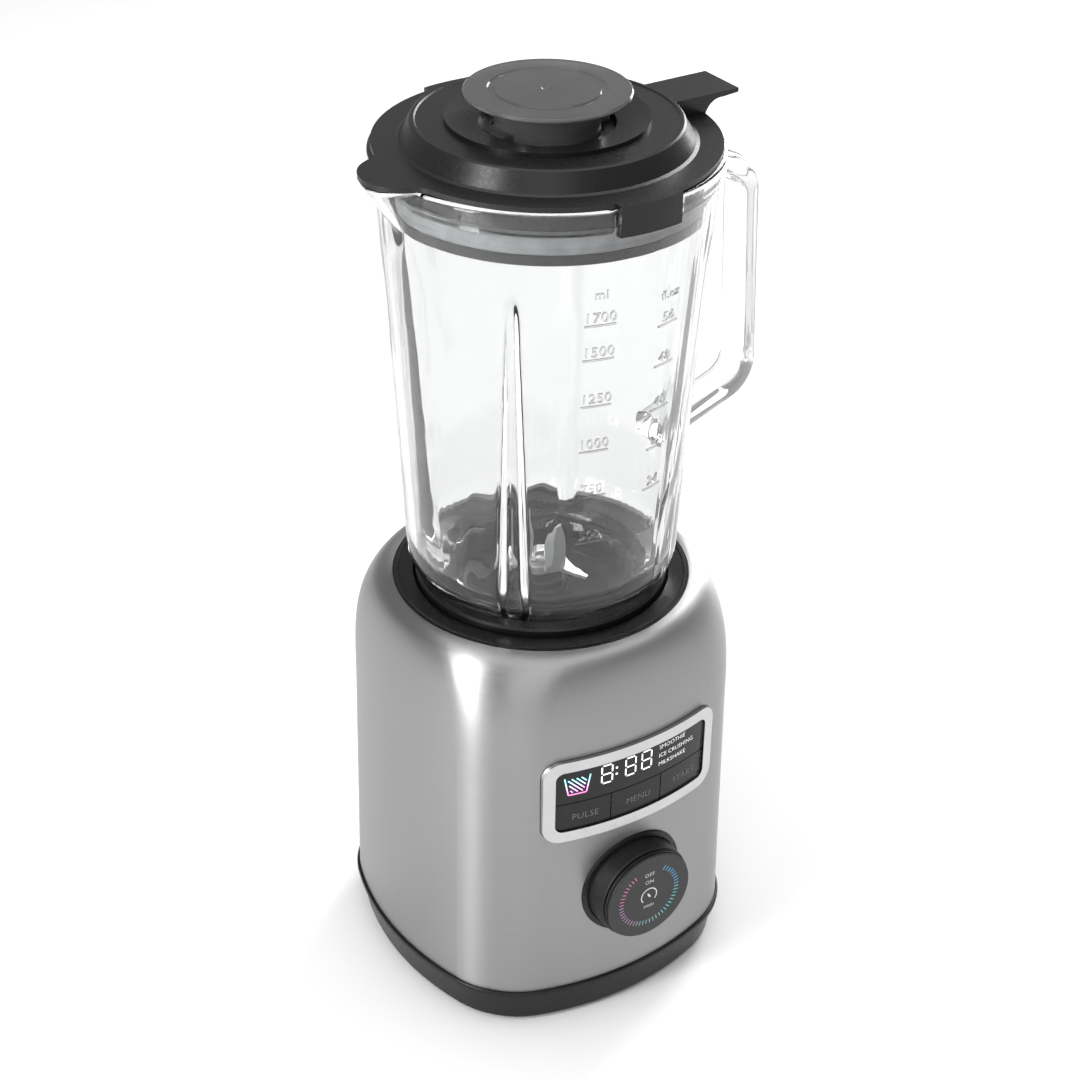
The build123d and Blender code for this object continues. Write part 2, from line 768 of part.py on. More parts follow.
gland_reach = 6.0
with BuildPart() as cord_gland:
    with BuildSketch(Plane.XZ.offset(-base_half - gland_reach)):
        with Locations((0, gland_z)):
            Circle(gland_radius - 1.2)
    extrude(amount=gland_reach + 14)
    with BuildSketch(Plane.XZ.offset(-base_half - 2.2)):
        with Locations((0, gland_z)):
            Circle(gland_radius + 2.2)
    extrude(amount=2.2)
    fillet(cord_gland.faces().sort_by(Axis.Y)[-1].edges(), 1.2)
    with BuildSketch(Plane.XZ.offset(-base_half - gland_reach)):
        with Locations((0, gland_z)):
            Circle(3.6)
    extrude(amount=gland_reach + 14, mode=Mode.SUBTRACT)
finish(cord_gland, "cord_gland")

with BuildPart() as reed_switch:
    with BuildSketch(Plane.XY.offset(socket_z + 6)):
        with Locations((-(socket_radius + socket_wall + 2.6), 0)):
            RectangleRounded(5, 15, 1)
    extrude(amount=5)
finish(reed_switch, "reed_switch")

# ---------------------------------------------------------------- motor, turning parts
drive_low_z = pocket_z + 1.5
drive_top_z = socket_z + 10.6
drive_radius = 15.0
star_radius = 7.0
star_reach = 11.0
star_tooth = 4.0
star_floor_z = socket_z + 1.0
star_slack = 0.35

with BuildPart() as motor_shaft:
    with BuildSketch(Plane.XY.offset(fan_low_z - 3)):
        Circle(shaft_radius)
    extrude(amount=drive_low_z + 6 - fan_low_z + 3)
finish(motor_shaft, "motor_shaft")

with BuildPart() as armature_core:
    with BuildSketch(Plane.XY.offset(stack_bottom)):
        Circle(armature_radius)
        with PolarLocations(armature_radius - 4.0, 12):
            Rectangle(9.0, 4.0, mode=Mode.SUBTRACT)
        Circle(shaft_radius + seat / 4, mode=Mode.SUBTRACT)
    extrude(amount=stack_height)
finish(armature_core, "armature_core")

with BuildPart() as armature_winding:
    for level in (stack_bottom - 7, stack_top + 1):
        with BuildSketch(Plane.XY.offset(level)):
            Circle(armature_radius - 2)
            Circle(shaft_radius + 4, mode=Mode.SUBTRACT)
        extrude(amount=6)
    fillet(armature_winding.edges().filter_by(GeomType.CIRCLE), 1.8)
    with BuildSketch(Plane.XY.offset(stack_bottom - 3)):
        with PolarLocations(armature_radius - 4.6, 12):
            Rectangle(5.6, 3.4)
    extrude(amount=stack_height + 6)
finish(armature_winding, "armature_winding")

with BuildPart() as commutator:
    with BuildSketch(Plane.XY.offset(brush_z - 8)):
        Circle(commutator_radius)
        with PolarLocations(commutator_radius, 24):
            Rectangle(1.6, 0.6, mode=Mode.SUBTRACT)
        Circle(shaft_radius + seat / 4, mode=Mode.SUBTRACT)
    extrude(amount=16)
finish(commutator, "commutator")

with BuildPart() as cooling_fan:
    with BuildSketch(Plane.XY.offset(fan_low_z + fan_height - 2)):
        Circle(fan_radius)
    extrude(amount=2)
    with BuildSketch(Plane.XY.offset(fan_low_z)):
        Circle(9)
        with PolarLocations(22, 11):
            Rectangle(24, 2, rotation=28)
    extrude(amount=fan_height - 1)
    with BuildSketch(Plane.XY.offset(fan_low_z)):
        Circle(shaft_radius + seat / 4)
    extrude(amount=fan_height, mode=Mode.SUBTRACT)
finish(cooling_fan, "cooling_fan")

with BuildPart() as drive_coupling:
    with BuildSketch(Plane.XY.offset(drive_low_z)):
        Circle(drive_radius)
    extrude(amount=drive_top_z - drive_low_z)
    fillet(drive_coupling.edges().group_by(Axis.Z)[-1], 1.2)
    with BuildSketch(Plane.XY.offset(star_floor_z)):
        Circle(star_radius + star_slack)
        with PolarLocations((star_reach + star_slack) / 2, 6):
            Rectangle(star_reach + star_slack, star_tooth + 2 * star_slack)
    extrude(amount=drive_top_z - star_floor_z, mode=Mode.SUBTRACT)
    with BuildSketch(Plane.XY.offset(drive_low_z)):
        Circle(shaft_radius + seat / 4)
    extrude(amount=6.2, mode=Mode.SUBTRACT)
finish(drive_coupling, "drive_coupling")

# ---------------------------------------------------------------- jar: glass
jar_low_z = collar_z + foot_rise
jar_mid_z = (jar_low_z + rim_z) / 2
neck_top_z = collar_z - (jar_foot_radius - neck_radius)
spout_centre = spout_radius - spout_reach
spout_low_z = rim_z - spout_height
cut_over = 5.0  # the cavity runs past the rim


def spout(radius_cut, height_past):
    """The spout's outer skin, or its channel when radius_cut is the glass wall."""
    low = 10 - radius_cut
    with BuildPart() as cone:
        with BuildSketch(Plane.XY.offset(spout_low_z)):
            with Locations((spout_centre + 8, 0)):
                Circle(low)
        with BuildSketch(Plane.XY.offset(rim_z + height_past)):
            with Locations((spout_centre, 0)):
                Circle(spout_radius - radius_cut)
        loft()
    return cone.part


with BuildPart() as jar_cavity:
    with BuildSketch(Plane.XZ):
        with BuildLine():
            foot_in = (neck_bore + 8.5, collar_z + 2.6)
            low_in = (jar_low_radius - glass, jar_low_z + 0.6)
            mid_in = (jar_mid_radius - glass, jar_mid_z)
            top_in = (jar_top_radius - glass, rim_z)
            Line((0, neck_z), (neck_bore, neck_z))
            Line((neck_bore, neck_z), (neck_bore, collar_z))
            Line((neck_bore, collar_z), foot_in)
            RadiusArc(foot_in, low_in, -14)
            ThreePointArc(low_in, mid_in, top_in)
            Line(top_in, (top_in[0] + 0.2, rim_z + cut_over))
            Line((top_in[0] + 0.2, rim_z + cut_over), (0, rim_z + cut_over))
            Line((0, rim_z + cut_over), (0, neck_z))
        make_face()
    revolve(axis=Axis.Z)
    add(spout(glass - 0.6, cut_over))
    # Four ribs down the inside of the wall, round at their upper ends
    for turn in (45, 135, 225, 315):
        low = Vector(jar_low_radius - glass - 1.7, 0).rotate(Axis.Z, turn)
        high = Vector(jar_mid_radius - 1.2, 0).rotate(Axis.Z, turn)
        with BuildSketch(Plane.XY.offset(collar_z)):
            with Locations((low.X, low.Y)):
                Circle(rib_radius)
        with BuildSketch(Plane.XY.offset(collar_z + rib_height)):
            with Locations((high.X, high.Y)):
                Circle(rib_tip_radius)
        loft(mode=Mode.SUBTRACT)
        with Locations((high.X, high.Y, collar_z + rib_height)):
            Sphere(rib_tip_radius, mode=Mode.SUBTRACT)

handle_top_z = rim_z - handle_top_drop
handle_low_z = handle_top_z - handle_length
with BuildPart() as jar_glass:
    with BuildSketch(Plane.XZ):
        with BuildLine():
            low_out = (jar_low_radius, jar_low_z)
            top_out = (jar_top_radius, rim_z)
            Line((0, neck_z), (neck_radius, neck_z))
            Line((neck_radius, neck_z), (neck_radius, neck_top_z))
            Line((neck_radius, neck_top_z), (jar_foot_radius, collar_z))
            RadiusArc((jar_foot_radius, collar_z), low_out, -15)
            ThreePointArc(low_out, (jar_mid_radius, jar_mid_z), top_out)
            Line(top_out, (0, rim_z))
            Line((0, rim_z), (0, neck_z))
        make_face()
    revolve(axis=Axis.Z)
    # Thickened rim, left open where the lid's clips come down
    with BuildSketch(Plane.XY.offset(rim_z - rim_height)):
        Circle(jar_top_radius + rim_proud)
        Rectangle(clip_width + 2.4, 3 * jar_top_radius, mode=Mode.SUBTRACT)
    extrude(amount=rim_height)
    with BuildLine(Plane.XZ) as handle_path:
        FilletPolyline(
            (jar_top_radius - 4, rim_z - 16),
            (handle_reach - 5, handle_top_z),
            (handle_reach, handle_low_z),
            (jar_low_radius - 1, handle_low_z - 17),
            radius=15,
        )
    with BuildSketch(
        Plane(origin=handle_path.line @ 0, x_dir=(0, 1, 0), z_dir=handle_path.line % 0)
    ):
        RectangleRounded(handle_width, handle_thickness, handle_thickness / 2 - 0.4)
    sweep(path=handle_path.line)
    add(spout(0, 0))
    add(jar_cavity.part, mode=Mode.SUBTRACT)
finish(jar_glass, "jar_glass")

# ---------------------------------------------------------------- jar: collar and blade base
gasket_height = 2.0
base_flange = 3.0
collar_skirt = 3.1
clamp_z = neck_z - gasket_height - base_flange
collar_floor = 3.0

with BuildPart() as jar_collar:
    with BuildSketch(Plane.XZ):
        with BuildLine():
            Polyline(
                (collar_radius - collar_skirt, jar_foot_z),
                (collar_radius, jar_foot_z),
                (collar_radius, collar_z - 1),
                (collar_radius - 1, collar_z),
                (jar_foot_radius + 2 * seat, collar_z),
                (neck_radius + slack, neck_top_z - seat),
                (neck_radius + slack, clamp_z),
                (neck_bore, clamp_z),
                (neck_bore, clamp_z - collar_floor),
                (collar_radius - collar_skirt, clamp_z - collar_floor),
                close=True,
            )
        make_face()
    revolve(axis=Axis.Z)
    # Pocket for the magnet that tells the base that the jar is on
    with BuildSketch(Plane.YZ.offset(-collar_radius + collar_skirt - 1)):
        with Locations((0, jar_foot_z + 6)):
            Circle(3.2)
    extrude(amount=-1.1, mode=Mode.SUBTRACT)
    with BuildSketch(Plane.YZ.offset(-collar_radius + collar_skirt + 1)):
        with Locations((0, jar_foot_z + 6)):
            Circle(3.2)
    extrude(amount=-2.1, mode=Mode.SUBTRACT)
finish(jar_collar, "jar_collar")

with BuildPart() as interlock_magnet:
    with BuildSketch(Plane.YZ.offset(-collar_radius + collar_skirt)):
        with Locations((0, jar_foot_z + 6)):
            Circle(3.0)
    extrude(amount=-1.8)
finish(interlock_magnet, "interlock_magnet")

with BuildPart() as jar_gasket:
    with BuildSketch(Plane.XY.offset(neck_z - gasket_height)):
        Circle(neck_radius - seat)
        Circle(neck_bore, mode=Mode.SUBTRACT)
    extrude(amount=gasket_height)
finish(jar_gasket, "jar_gasket")

floor_z = neck_z + 3.0
hub_top_z = neck_z + 11.0
base_shell = 3.0
blade_hub_radius = 12.0
bush_radius = 7.0
with BuildPart() as blade_base:
    with BuildSketch(Plane.XZ):
        with BuildLine():
            Polyline(
                (bush_radius, floor_z - base_shell),
                (neck_bore - 4, floor_z - base_shell),
                (neck_bore - 4, clamp_z),
                (neck_radius - seat, clamp_z),
                (neck_radius - seat, neck_z - gasket_height),
                (neck_bore - seat, neck_z - gasket_height),
                (neck_bore - seat, floor_z + 1.2),
                (neck_bore - seat - 1.6, floor_z + 1.2),
                (neck_bore - 6, floor_z),
                (blade_hub_radius + 3, floor_z),
                (blade_hub_radius, floor_z + 3),
                (blade_hub_radius, hub_top_z - 1),
                (blade_hub_radius - 1, hub_top_z),
                (bush_radius, hub_top_z),
                close=True,
            )
        make_face()
    revolve(axis=Axis.Z)
finish(blade_base, "blade_base")

with BuildPart() as blade_bush:
    with BuildSketch(Plane.XY.offset(floor_z - base_shell)):
        Circle(bush_radius - 0.03)
        Circle(shaft_radius + running, mode=Mode.SUBTRACT)
    extrude(amount=hub_top_z - floor_z + base_shell - 3)
finish(blade_bush, "blade_bush")

with BuildPart() as shaft_seal:
    with BuildSketch(Plane.XY.offset(hub_top_z - 3)):
        Circle(bush_radius - 0.03)
        Circle(shaft_radius + running, mode=Mode.SUBTRACT)
    extrude(amount=2.6)
finish(shaft_seal, "shaft_seal")

# ---------------------------------------------------------------- blades and their shaft
washer_height = 1.2
spacer_radius = 6.0
blade_thickness = 1.6
blade_low_z = neck_z + 18.0
blade_high_z = blade_low_z + blade_thickness
driven_top_z = floor_z - base_shell - slack
driven_low_z = drive_top_z + 0.6
blade_hub = 7.6  # radius of the flat middle of each strip
upper_turn = -80.0  # direction that each pair of blades points in, from +X
lower_turn = -44.0

with BuildPart() as thrust_washer:
    with BuildSketch(Plane.XY.offset(hub_top_z + slack)):
        Circle(spacer_radius + 1.5)
        Circle(shaft_radius + 0.05, mode=Mode.SUBTRACT)
    extrude(amount=washer_height)
finish(thrust_washer, "thrust_washer")

with BuildPart() as blade_shaft:
    with BuildSketch(Plane.XY.offset(driven_low_z + 0.5)):
        Circle(shaft_radius)
    extrude(amount=blade_high_z + blade_thickness + 1.5 - driven_low_z - 0.5)
    with BuildSketch(Plane.XY.offset(hub_top_z + slack + washer_height)):
        Circle(spacer_radius)
    extrude(amount=blade_low_z - hub_top_z - slack - washer_height)
finish(blade_shaft, "blade_shaft")


def bent_blade(level, flat, reach, tip_z, half_width, turn):
    """A strip of blade steel, bent at both ends and ground to points."""
    across = Plane.XZ.rotated((0, 0, turn))
    along = Plane.XY.rotated((0, 0, turn))
    rise = tip_z - level
    run = reach - flat
    shift = blade_thickness * (run / sqrt(run**2 + rise**2))
    with BuildPart() as blade:
        with BuildSketch(across):
            with BuildLine():
                top = level + blade_thickness
                inward = blade_thickness * abs(rise) / sqrt(run**2 + rise**2)
                step = inward if rise > 0 else -inward
                Polyline(
                    (-reach, tip_z),
                    (-flat, level),
                    (flat, level),
                    (reach, tip_z),
                    (reach - step, tip_z + shift),
                    (flat - step / 2, top),
                    (-flat + step / 2, top),
                    (-reach + step, tip_z + shift),
                    close=True,
                )
            make_face()
        extrude(amount=blade_hub + 1, both=True)
        with BuildSketch(along):
            Circle(blade_hub)
            Polygon(
                (-reach - 0.5, 1.0),
                (-reach - 0.5, -0.8),
                (-flat, -half_width),
                (flat, -half_width + 1),
                (reach + 0.5, -1.0),
                (reach + 0.5, 0.8),
                (flat, half_width),
                (-flat, half_width - 1),
                align=None,
            )
        extrude(amount=2 * tip_z, mode=Mode.INTERSECT)
        with BuildSketch(Plane.XY):
            Circle(shaft_radius + 0.05)
        extrude(amount=2 * tip_z, mode=Mode.SUBTRACT)
    return blade


blades_lower = bent_blade(blade_low_z, 8.5, 21.0, blade_low_z - 5.0, 5.5, lower_turn)
finish(blades_lower, "blades_lower")
blades_upper = bent_blade(blade_high_z, 7.8, 10.4, blade_high_z + 22.0, 4.6, upper_turn)
finish(blades_upper, "blades_upper")

# A low round nut with a riveted middle
with BuildPart() as blade_nut:
    with BuildSketch(Plane.XY.offset(blade_high_z + blade_thickness)):
        Circle(shaft_radius + 1.6)
    extrude(amount=2.2)
    fillet(blade_nut.edges().group_by(Axis.Z)[-1], 0.7)
    with BuildSketch(Plane.XY.offset(blade_high_z + blade_thickness + 2.2)):
        Circle(shaft_radius - 1.2)
    extrude(amount=1.0)
    fillet(blade_nut.edges().group_by(Axis.Z)[-1], 0.5)
    with BuildSketch(Plane.XY.offset(blade_high_z + blade_thickness)):
        Circle(shaft_radius + 0.05)
    extrude(amount=1.6, mode=Mode.SUBTRACT)
finish(blade_nut, "blade_nut")

with BuildPart() as driven_coupling:
    with BuildSketch(Plane.XY.offset(driven_low_z)):
        Circle(drive_radius - 1.5)
    extrude(amount=driven_top_z - driven_low_z)
    with BuildSketch(Plane.XY.offset(star_floor_z + 1)):
        Circle(star_radius)
        with PolarLocations(star_reach / 2, 6):
            Rectangle(star_reach, star_tooth)
    extrude(amount=driven_low_z - star_floor_z - 1)
    with BuildSketch(Plane.XY.offset(driven_low_z + 0.4)):
        Circle(shaft_radius + 0.05)
    extrude(amount=20, mode=Mode.SUBTRACT)
finish(driven_coupling, "driven_coupling")

# ---------------------------------------------------------------- lid
flange_top_z = flange_z + flange_thickness
inner_disc_z = crown_z + inner_disc_rise
well_z = crown_z - 4.7
skirt_low_z = flange_z - skirt_depth
lip_z = skirt_low_z + 4.2
seal_top_z = lip_z + 10.0
clip_inner = jar_top_radius + 1.0
clip_outer = clip_inner + 2.4
flange_reach = jar_top_radius - seat
hollow_radius = 8.0
hollow_far = flange_reach + hollow_radius  # of the hollow's centre from the jar's axis
hollow_near = spout_radius + hollow_radius  # of the hollow's centre from the spout's
hollow_x = (spout_centre**2 + hollow_far**2 - hollow_near**2) / (2 * spout_centre)
hollow_y = sqrt(hollow_far**2 - hollow_x**2)

with BuildPart() as lid_body:
    with BuildSketch(Plane.XY.offset(flange_z)):
        Circle(flange_reach)
        with Locations((spout_centre, 0)):
            Circle(spout_radius)
        # Hollow corners where the cover of the spout leaves the round flange
        Polygon((0, 0), (hollow_x, hollow_y), (spout_centre, 0), (hollow_x, -hollow_y), align=None)
        with GridLocations(0, 2 * hollow_y, 1, 2):
            with Locations((hollow_x, 0)):
                Circle(hollow_radius, mode=Mode.SUBTRACT)
        Circle(crown_foot_radius - 2, mode=Mode.SUBTRACT)
    extrude(amount=flange_thickness)
    with BuildSketch(Plane.XZ):
        with BuildLine():
            Polyline(
                (crown_foot_radius + 1.5, flange_top_z),
                (crown_foot_radius, flange_top_z + 0.6),
                (crown_radius, crown_z - 0.6),
                (crown_radius - 0.8, crown_z),
                (crown_radius - 2.0, crown_z),
                (crown_radius - 2.6, crown_z - 0.5),
                (inner_disc_radius, crown_z - 0.5),
                (inner_disc_radius, inner_disc_z),
                (well_radius + 0.6, well_z + 3.2),
                (well_radius, well_z),
                (cup_hole_radius, well_z),
                (cup_hole_radius, well_z - 8),
                (cup_hole_radius + lid_wall, well_z - 8),
                (cup_hole_radius + lid_wall, well_z - lid_wall),
                (well_radius + lid_wall, well_z - lid_wall),
                (well_radius + lid_wall + 1, crown_z - lid_wall),
                (crown_radius - 2, crown_z - lid_wall),
                (crown_foot_radius - 2, flange_z),
                (crown_foot_radius - 2, skirt_low_z),
                (skirt_radius + 1.3, skirt_low_z),
                (skirt_radius + 1.3, lip_z),
                (skirt_radius - 2, lip_z),
                (skirt_radius - 2, seal_top_z),
                (skirt_radius, seal_top_z),
                (skirt_radius, flange_z),
                (skirt_radius, flange_top_z),
                close=True,
            )
        make_face()
    revolve(axis=Axis.Z)
    # Clips over the rim at the front and the back
    with BuildSketch(Plane.XY.offset(flange_top_z - clip_depth)):
        Circle(clip_outer)
        Circle(clip_inner, mode=Mode.SUBTRACT)
        Rectangle(clip_width, 3 * clip_outer, mode=Mode.INTERSECT)
    extrude(amount=clip_depth)
    with BuildSketch(Plane.XY.offset(flange_z)):
        Circle(clip_outer)
        Circle(crown_foot_radius, mode=Mode.SUBTRACT)
        Rectangle(clip_width, 3 * clip_outer, mode=Mode.INTERSECT)
    extrude(amount=flange_thickness)
    with BuildSketch(Plane.XY.offset(flange_top_z - clip_depth)):
        Circle(clip_inner + 0.1)
        Circle(clip_inner - 0.5, mode=Mode.SUBTRACT)
        Rectangle(clip_width, 3 * clip_outer, mode=Mode.INTERSECT)
    extrude(amount=2)
    # Lift tab with a hollowed underside
    with BuildSketch(Plane.XZ.offset(-tab_width / 2)):
        with BuildLine():
            tab_top = flange_top_z + tab_rise
            tab_foot = flange_top_z - 1
            Line((crown_radius - 1, tab_foot), (crown_radius - 1, tab_top))
            Line((crown_radius - 1, tab_top), (tab_reach, tab_top))
            Line((tab_reach, tab_top), (tab_reach, tab_top - 1.8))
            Line((tab_reach, tab_top - 1.8), (tab_reach - 8, tab_top - 2.4))
            RadiusArc((tab_reach - 8, tab_top - 2.4), (jar_top_radius - 1, tab_foot), -8)
            Line((jar_top_radius - 1, tab_foot), (crown_radius - 1, tab_foot))
        make_face()
    extrude(amount=tab_width)
finish(lid_body, "lid_body")

with BuildPart() as lid_seal:
    with BuildSketch(Plane.XZ):
        with BuildLine():
            seal_out = jar_top_radius - glass - 1.9
            Polyline(
                (skirt_radius - 2, lip_z + 0.1),
                (seal_out - 0.8, lip_z + 0.1),
                (seal_out, lip_z + 1.2),
                (seal_out - 0.8, lip_z + 3.0),
                (seal_out - 0.8, seal_top_z - 3.0),
                (seal_out + 0.3, seal_top_z - 1.4),
                (seal_out - 0.6, seal_top_z - 0.1),
                (skirt_radius - 2, seal_top_z - 0.1),
                close=True,
            )
        make_face()
    revolve(axis=Axis.Z)
finish(lid_seal, "lid_seal")

# ---------------------------------------------------------------- measuring cup
cup_disc_z = cup_top_z - cup_disc_thickness
cup_low_z = cup_top_z - cup_depth
groove_middle = 23.1
groove_half = 1.6
with BuildPart() as measuring_cup:
    with BuildSketch(Plane.XZ):
        with BuildLine():
            Polyline(
                (0, cup_disc_z),
                (cup_neck_radius - cup_wall, cup_disc_z),
                (cup_neck_radius - cup_wall - 1.2, cup_low_z),
                (cup_neck_radius - 1.2, cup_low_z),
                (cup_neck_radius, cup_disc_z),
                (cup_disc_radius - 0.9, cup_disc_z),
                (cup_disc_radius, cup_disc_z + 0.9),
                (cup_disc_radius, cup_top_z - 0.6),
                (cup_disc_radius - 0.6, cup_top_z),
                (groove_middle + groove_half, cup_top_z),
                (groove_middle + groove_half - 0.5, cup_top_z - 0.6),
                (groove_middle - groove_half + 0.5, cup_top_z - 0.6),
                (groove_middle - groove_half, cup_top_z),
                (2.7, cup_top_z),
                (1.6, cup_top_z - 0.9),
                (0, cup_top_z - 1.1),
                close=True,
            )
        make_face()
    revolve(axis=Axis.Z)
    # Two lugs that stand on the lid's well
    with BuildSketch(Plane.XY.offset(well_z + slack)):
        Circle(well_radius - 0.7)
        Circle(cup_neck_radius - 0.9, mode=Mode.SUBTRACT)
        Rectangle(3 * well_radius, 14, mode=Mode.INTERSECT)
    extrude(amount=3.0)
finish(measuring_cup, "measuring_cup")
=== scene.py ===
"""Looks of the countertop blender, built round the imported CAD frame. Lengths are in metres."""

import json
import math

import bmesh
import bpy
import numpy as np
from mathutils import Matrix, Vector
from mathutils.bvhtree import BVHTree


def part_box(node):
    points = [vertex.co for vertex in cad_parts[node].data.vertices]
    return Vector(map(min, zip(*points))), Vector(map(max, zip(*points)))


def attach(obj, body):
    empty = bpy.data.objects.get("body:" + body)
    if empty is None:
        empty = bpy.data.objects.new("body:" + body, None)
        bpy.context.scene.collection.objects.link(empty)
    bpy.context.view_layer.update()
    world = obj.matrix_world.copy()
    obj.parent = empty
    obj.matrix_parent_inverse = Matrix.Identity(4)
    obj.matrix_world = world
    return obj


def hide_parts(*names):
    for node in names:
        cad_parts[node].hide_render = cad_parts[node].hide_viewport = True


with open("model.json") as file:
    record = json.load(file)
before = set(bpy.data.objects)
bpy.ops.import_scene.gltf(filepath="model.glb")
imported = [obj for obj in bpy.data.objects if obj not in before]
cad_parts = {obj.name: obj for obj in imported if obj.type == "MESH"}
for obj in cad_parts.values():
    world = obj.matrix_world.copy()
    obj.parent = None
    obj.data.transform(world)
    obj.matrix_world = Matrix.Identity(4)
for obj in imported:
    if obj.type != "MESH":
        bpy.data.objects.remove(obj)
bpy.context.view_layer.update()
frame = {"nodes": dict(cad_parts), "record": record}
nodes = frame["nodes"]
MM = 0.001
OUTSIDE = 0.2  # where a ray towards the object may start, well clear of it
LIT_FILM = 0.04 * MM  # how far lit signs stand above their surface
INK_FILM = 0.03 * MM  # the same for printed ones

# ---------------------------------------------------------------- camera, floor and light
CAMERA_AT = Vector((-0.4672, -0.7084, 0.7448))
CAMERA_YAW = math.radians(-33.37)
CAMERA_DOWN = math.radians(32.04)
CAMERA_ROLL = math.radians(0.84)
CAMERA_LENS = 73.77
SENSOR = 36.0


def add_camera():
    """The camera at the photograph's viewing angle."""
    data = bpy.data.cameras.new("camera")
    data.lens = CAMERA_LENS
    data.sensor_width = SENSOR
    data.clip_end = 50
    camera = bpy.data.objects.new("camera", data)
    turn = Matrix.Rotation(CAMERA_YAW, 4, "Z")
    tilt = Matrix.Rotation(math.radians(90) - CAMERA_DOWN, 4, "X")
    roll = Matrix.Rotation(CAMERA_ROLL, 4, "Z")
    camera.matrix_world = Matrix.Translation(CAMERA_AT) @ turn @ tilt @ roll
    bpy.context.scene.collection.objects.link(camera)
    bpy.context.scene.camera = camera


def add_light(name, place, aim, size, power, size_y=None):
    """A soft rectangular studio light."""
    data = bpy.data.lights.new(name, "AREA")
    data.shape = "RECTANGLE"
    data.size = size
    data.size_y = size_y or size
    data.energy = power
    lamp = bpy.data.objects.new(name, data)
    lamp.location = place
    lamp.rotation_euler = (Vector(aim) - Vector(place)).to_track_quat("-Z", "Y").to_euler()
    bpy.context.scene.collection.objects.link(lamp)


# ---------------------------------------------------------------- material kit
class Shader:
    """A node material: small helpers keep each recipe short."""

    def __init__(self, name):
        self.material = bpy.data.materials.new(name)
        self.material.use_nodes = True
        self.tree = self.material.node_tree
        self.bsdf = self.tree.nodes["Principled BSDF"]
        self.place = self.node("ShaderNodeTexCoord").outputs["Object"]

    def node(self, kind, **settings):
        made = self.tree.nodes.new(kind)
        for key, value in settings.items():
            if hasattr(made, key):
                setattr(made, key, value)
            else:
                made.inputs[key.replace("_", " ")].default_value = value
        return made

    def link(self, a, b):
        self.tree.links.new(a, b)

    def set(self, **values):
        """Constants on the shader's own sockets."""
        for key, value in values.items():
            self.bsdf.inputs[key.replace("_", " ")].default_value = value
        return self

    def stretched(self, scale):
        """Object coordinates scaled by a vector, so a texture can run in one direction."""
        mapping = self.node("ShaderNodeMapping")
        mapping.inputs["Scale"].default_value = scale
        self.link(self.place, mapping.inputs["Vector"])
        return mapping.outputs["Vector"]

    def noise(self, scale, detail=3.0, rough=0.55, vector=None):
        """A noise texture's factor. Scale is in features per metre."""
        made = self.node("ShaderNodeTexNoise", Scale=scale, Detail=detail, Roughness=rough)
        self.link(vector or self.place, made.inputs["Vector"])
        return made.outputs["Fac"]

    def ramp(self, factor, low, high, start=0.35, end=0.65):
        """Maps a factor to values or colours between low and high."""
        made = self.node("ShaderNodeValToRGB")
        first, last = made.color_ramp.elements
        first.position, last.position = start, end
        first.color = low if isinstance(low, tuple) else (low, low, low, 1)
        last.color = high if isinstance(high, tuple) else (high, high, high, 1)
        self.link(factor, made.inputs["Fac"])
        return made.outputs["Color"]

    def colour(self, low, high, factor):
        """Base colour that drifts between two close shades."""
        mixed = self.ramp(factor, (*low, 1), (*high, 1), 0.3, 0.7)
        self.link(mixed, self.bsdf.inputs["Base Color"])
        return self

    def roughness(self, low, high, factor):
        self.link(self.ramp(factor, low, high, 0.3, 0.7), self.bsdf.inputs["Roughness"])
        return self

    def bump(self, factor, depth, strength=1.0):
        """Surface relief of the given depth in metres."""
        made = self.node("ShaderNodeBump", Strength=strength, Distance=depth)
        self.link(factor, made.inputs["Height"])
        if self.bsdf.inputs["Normal"].is_linked:
            before = self.bsdf.inputs["Normal"].links[0].from_socket
            self.link(before, made.inputs["Normal"])
        self.link(made.outputs["Normal"], self.bsdf.inputs["Normal"])
        return self


def brushed_steel(name, grain, shade=0.33, rough=(0.33, 0.41), anisotropic=0.8):
    """Steel with fine parallel brush lines. grain is the texture's scale along X, Y and Z."""
    s = Shader(name)
    lines = s.noise(1.0, 4.0, 0.7, s.stretched(grain))
    drift = s.noise(9.0, 2.0)
    low = (shade * 0.95, shade * 0.95, shade * 0.96)
    high = (shade * 1.04, shade * 1.04, shade * 1.045)
    s.set(Metallic=1.0, Anisotropic=anisotropic, Anisotropic_Rotation=0.25)
    around = s.node("ShaderNodeTangent", direction_type="RADIAL", axis="Z")
    s.link(around.outputs["Tangent"], s.bsdf.inputs["Tangent"])
    s.colour(low, high, lines)
    s.roughness(*rough, lines)
    s.bump(lines, 0.000004, 0.3)
    s.bump(drift, 0.0002, 0.03)
    return s.material


def polished_metal(name, shade, rough):
    """Smooth metal with a slight drift of shade."""
    s = Shader(name)
    drift = s.noise(60.0, 3.0)
    s.set(Metallic=1.0)
    s.colour(tuple(c * 0.94 for c in shade), shade, drift)
    s.roughness(rough * 0.85, rough * 1.2, s.noise(220.0))
    s.bump(s.noise(30.0), 0.00003, 0.08)
    return s.material


def moulded_plastic(name, shade, rough=0.5, texture=3200.0, depth=0.000022, specular=0.5):
    """Injection-moulded plastic with a fine spark-eroded texture."""
    s = Shader(name)
    s.set(Specular_IOR_Level=specular)
    s.colour(tuple(c * 0.86 for c in shade), tuple(c * 1.12 for c in shade), s.noise(35.0))
    s.roughness(rough - 0.05, rough + 0.06, s.noise(700.0))
    s.bump(s.noise(texture, 2.0, 0.6), depth, 0.5)
    return s.material


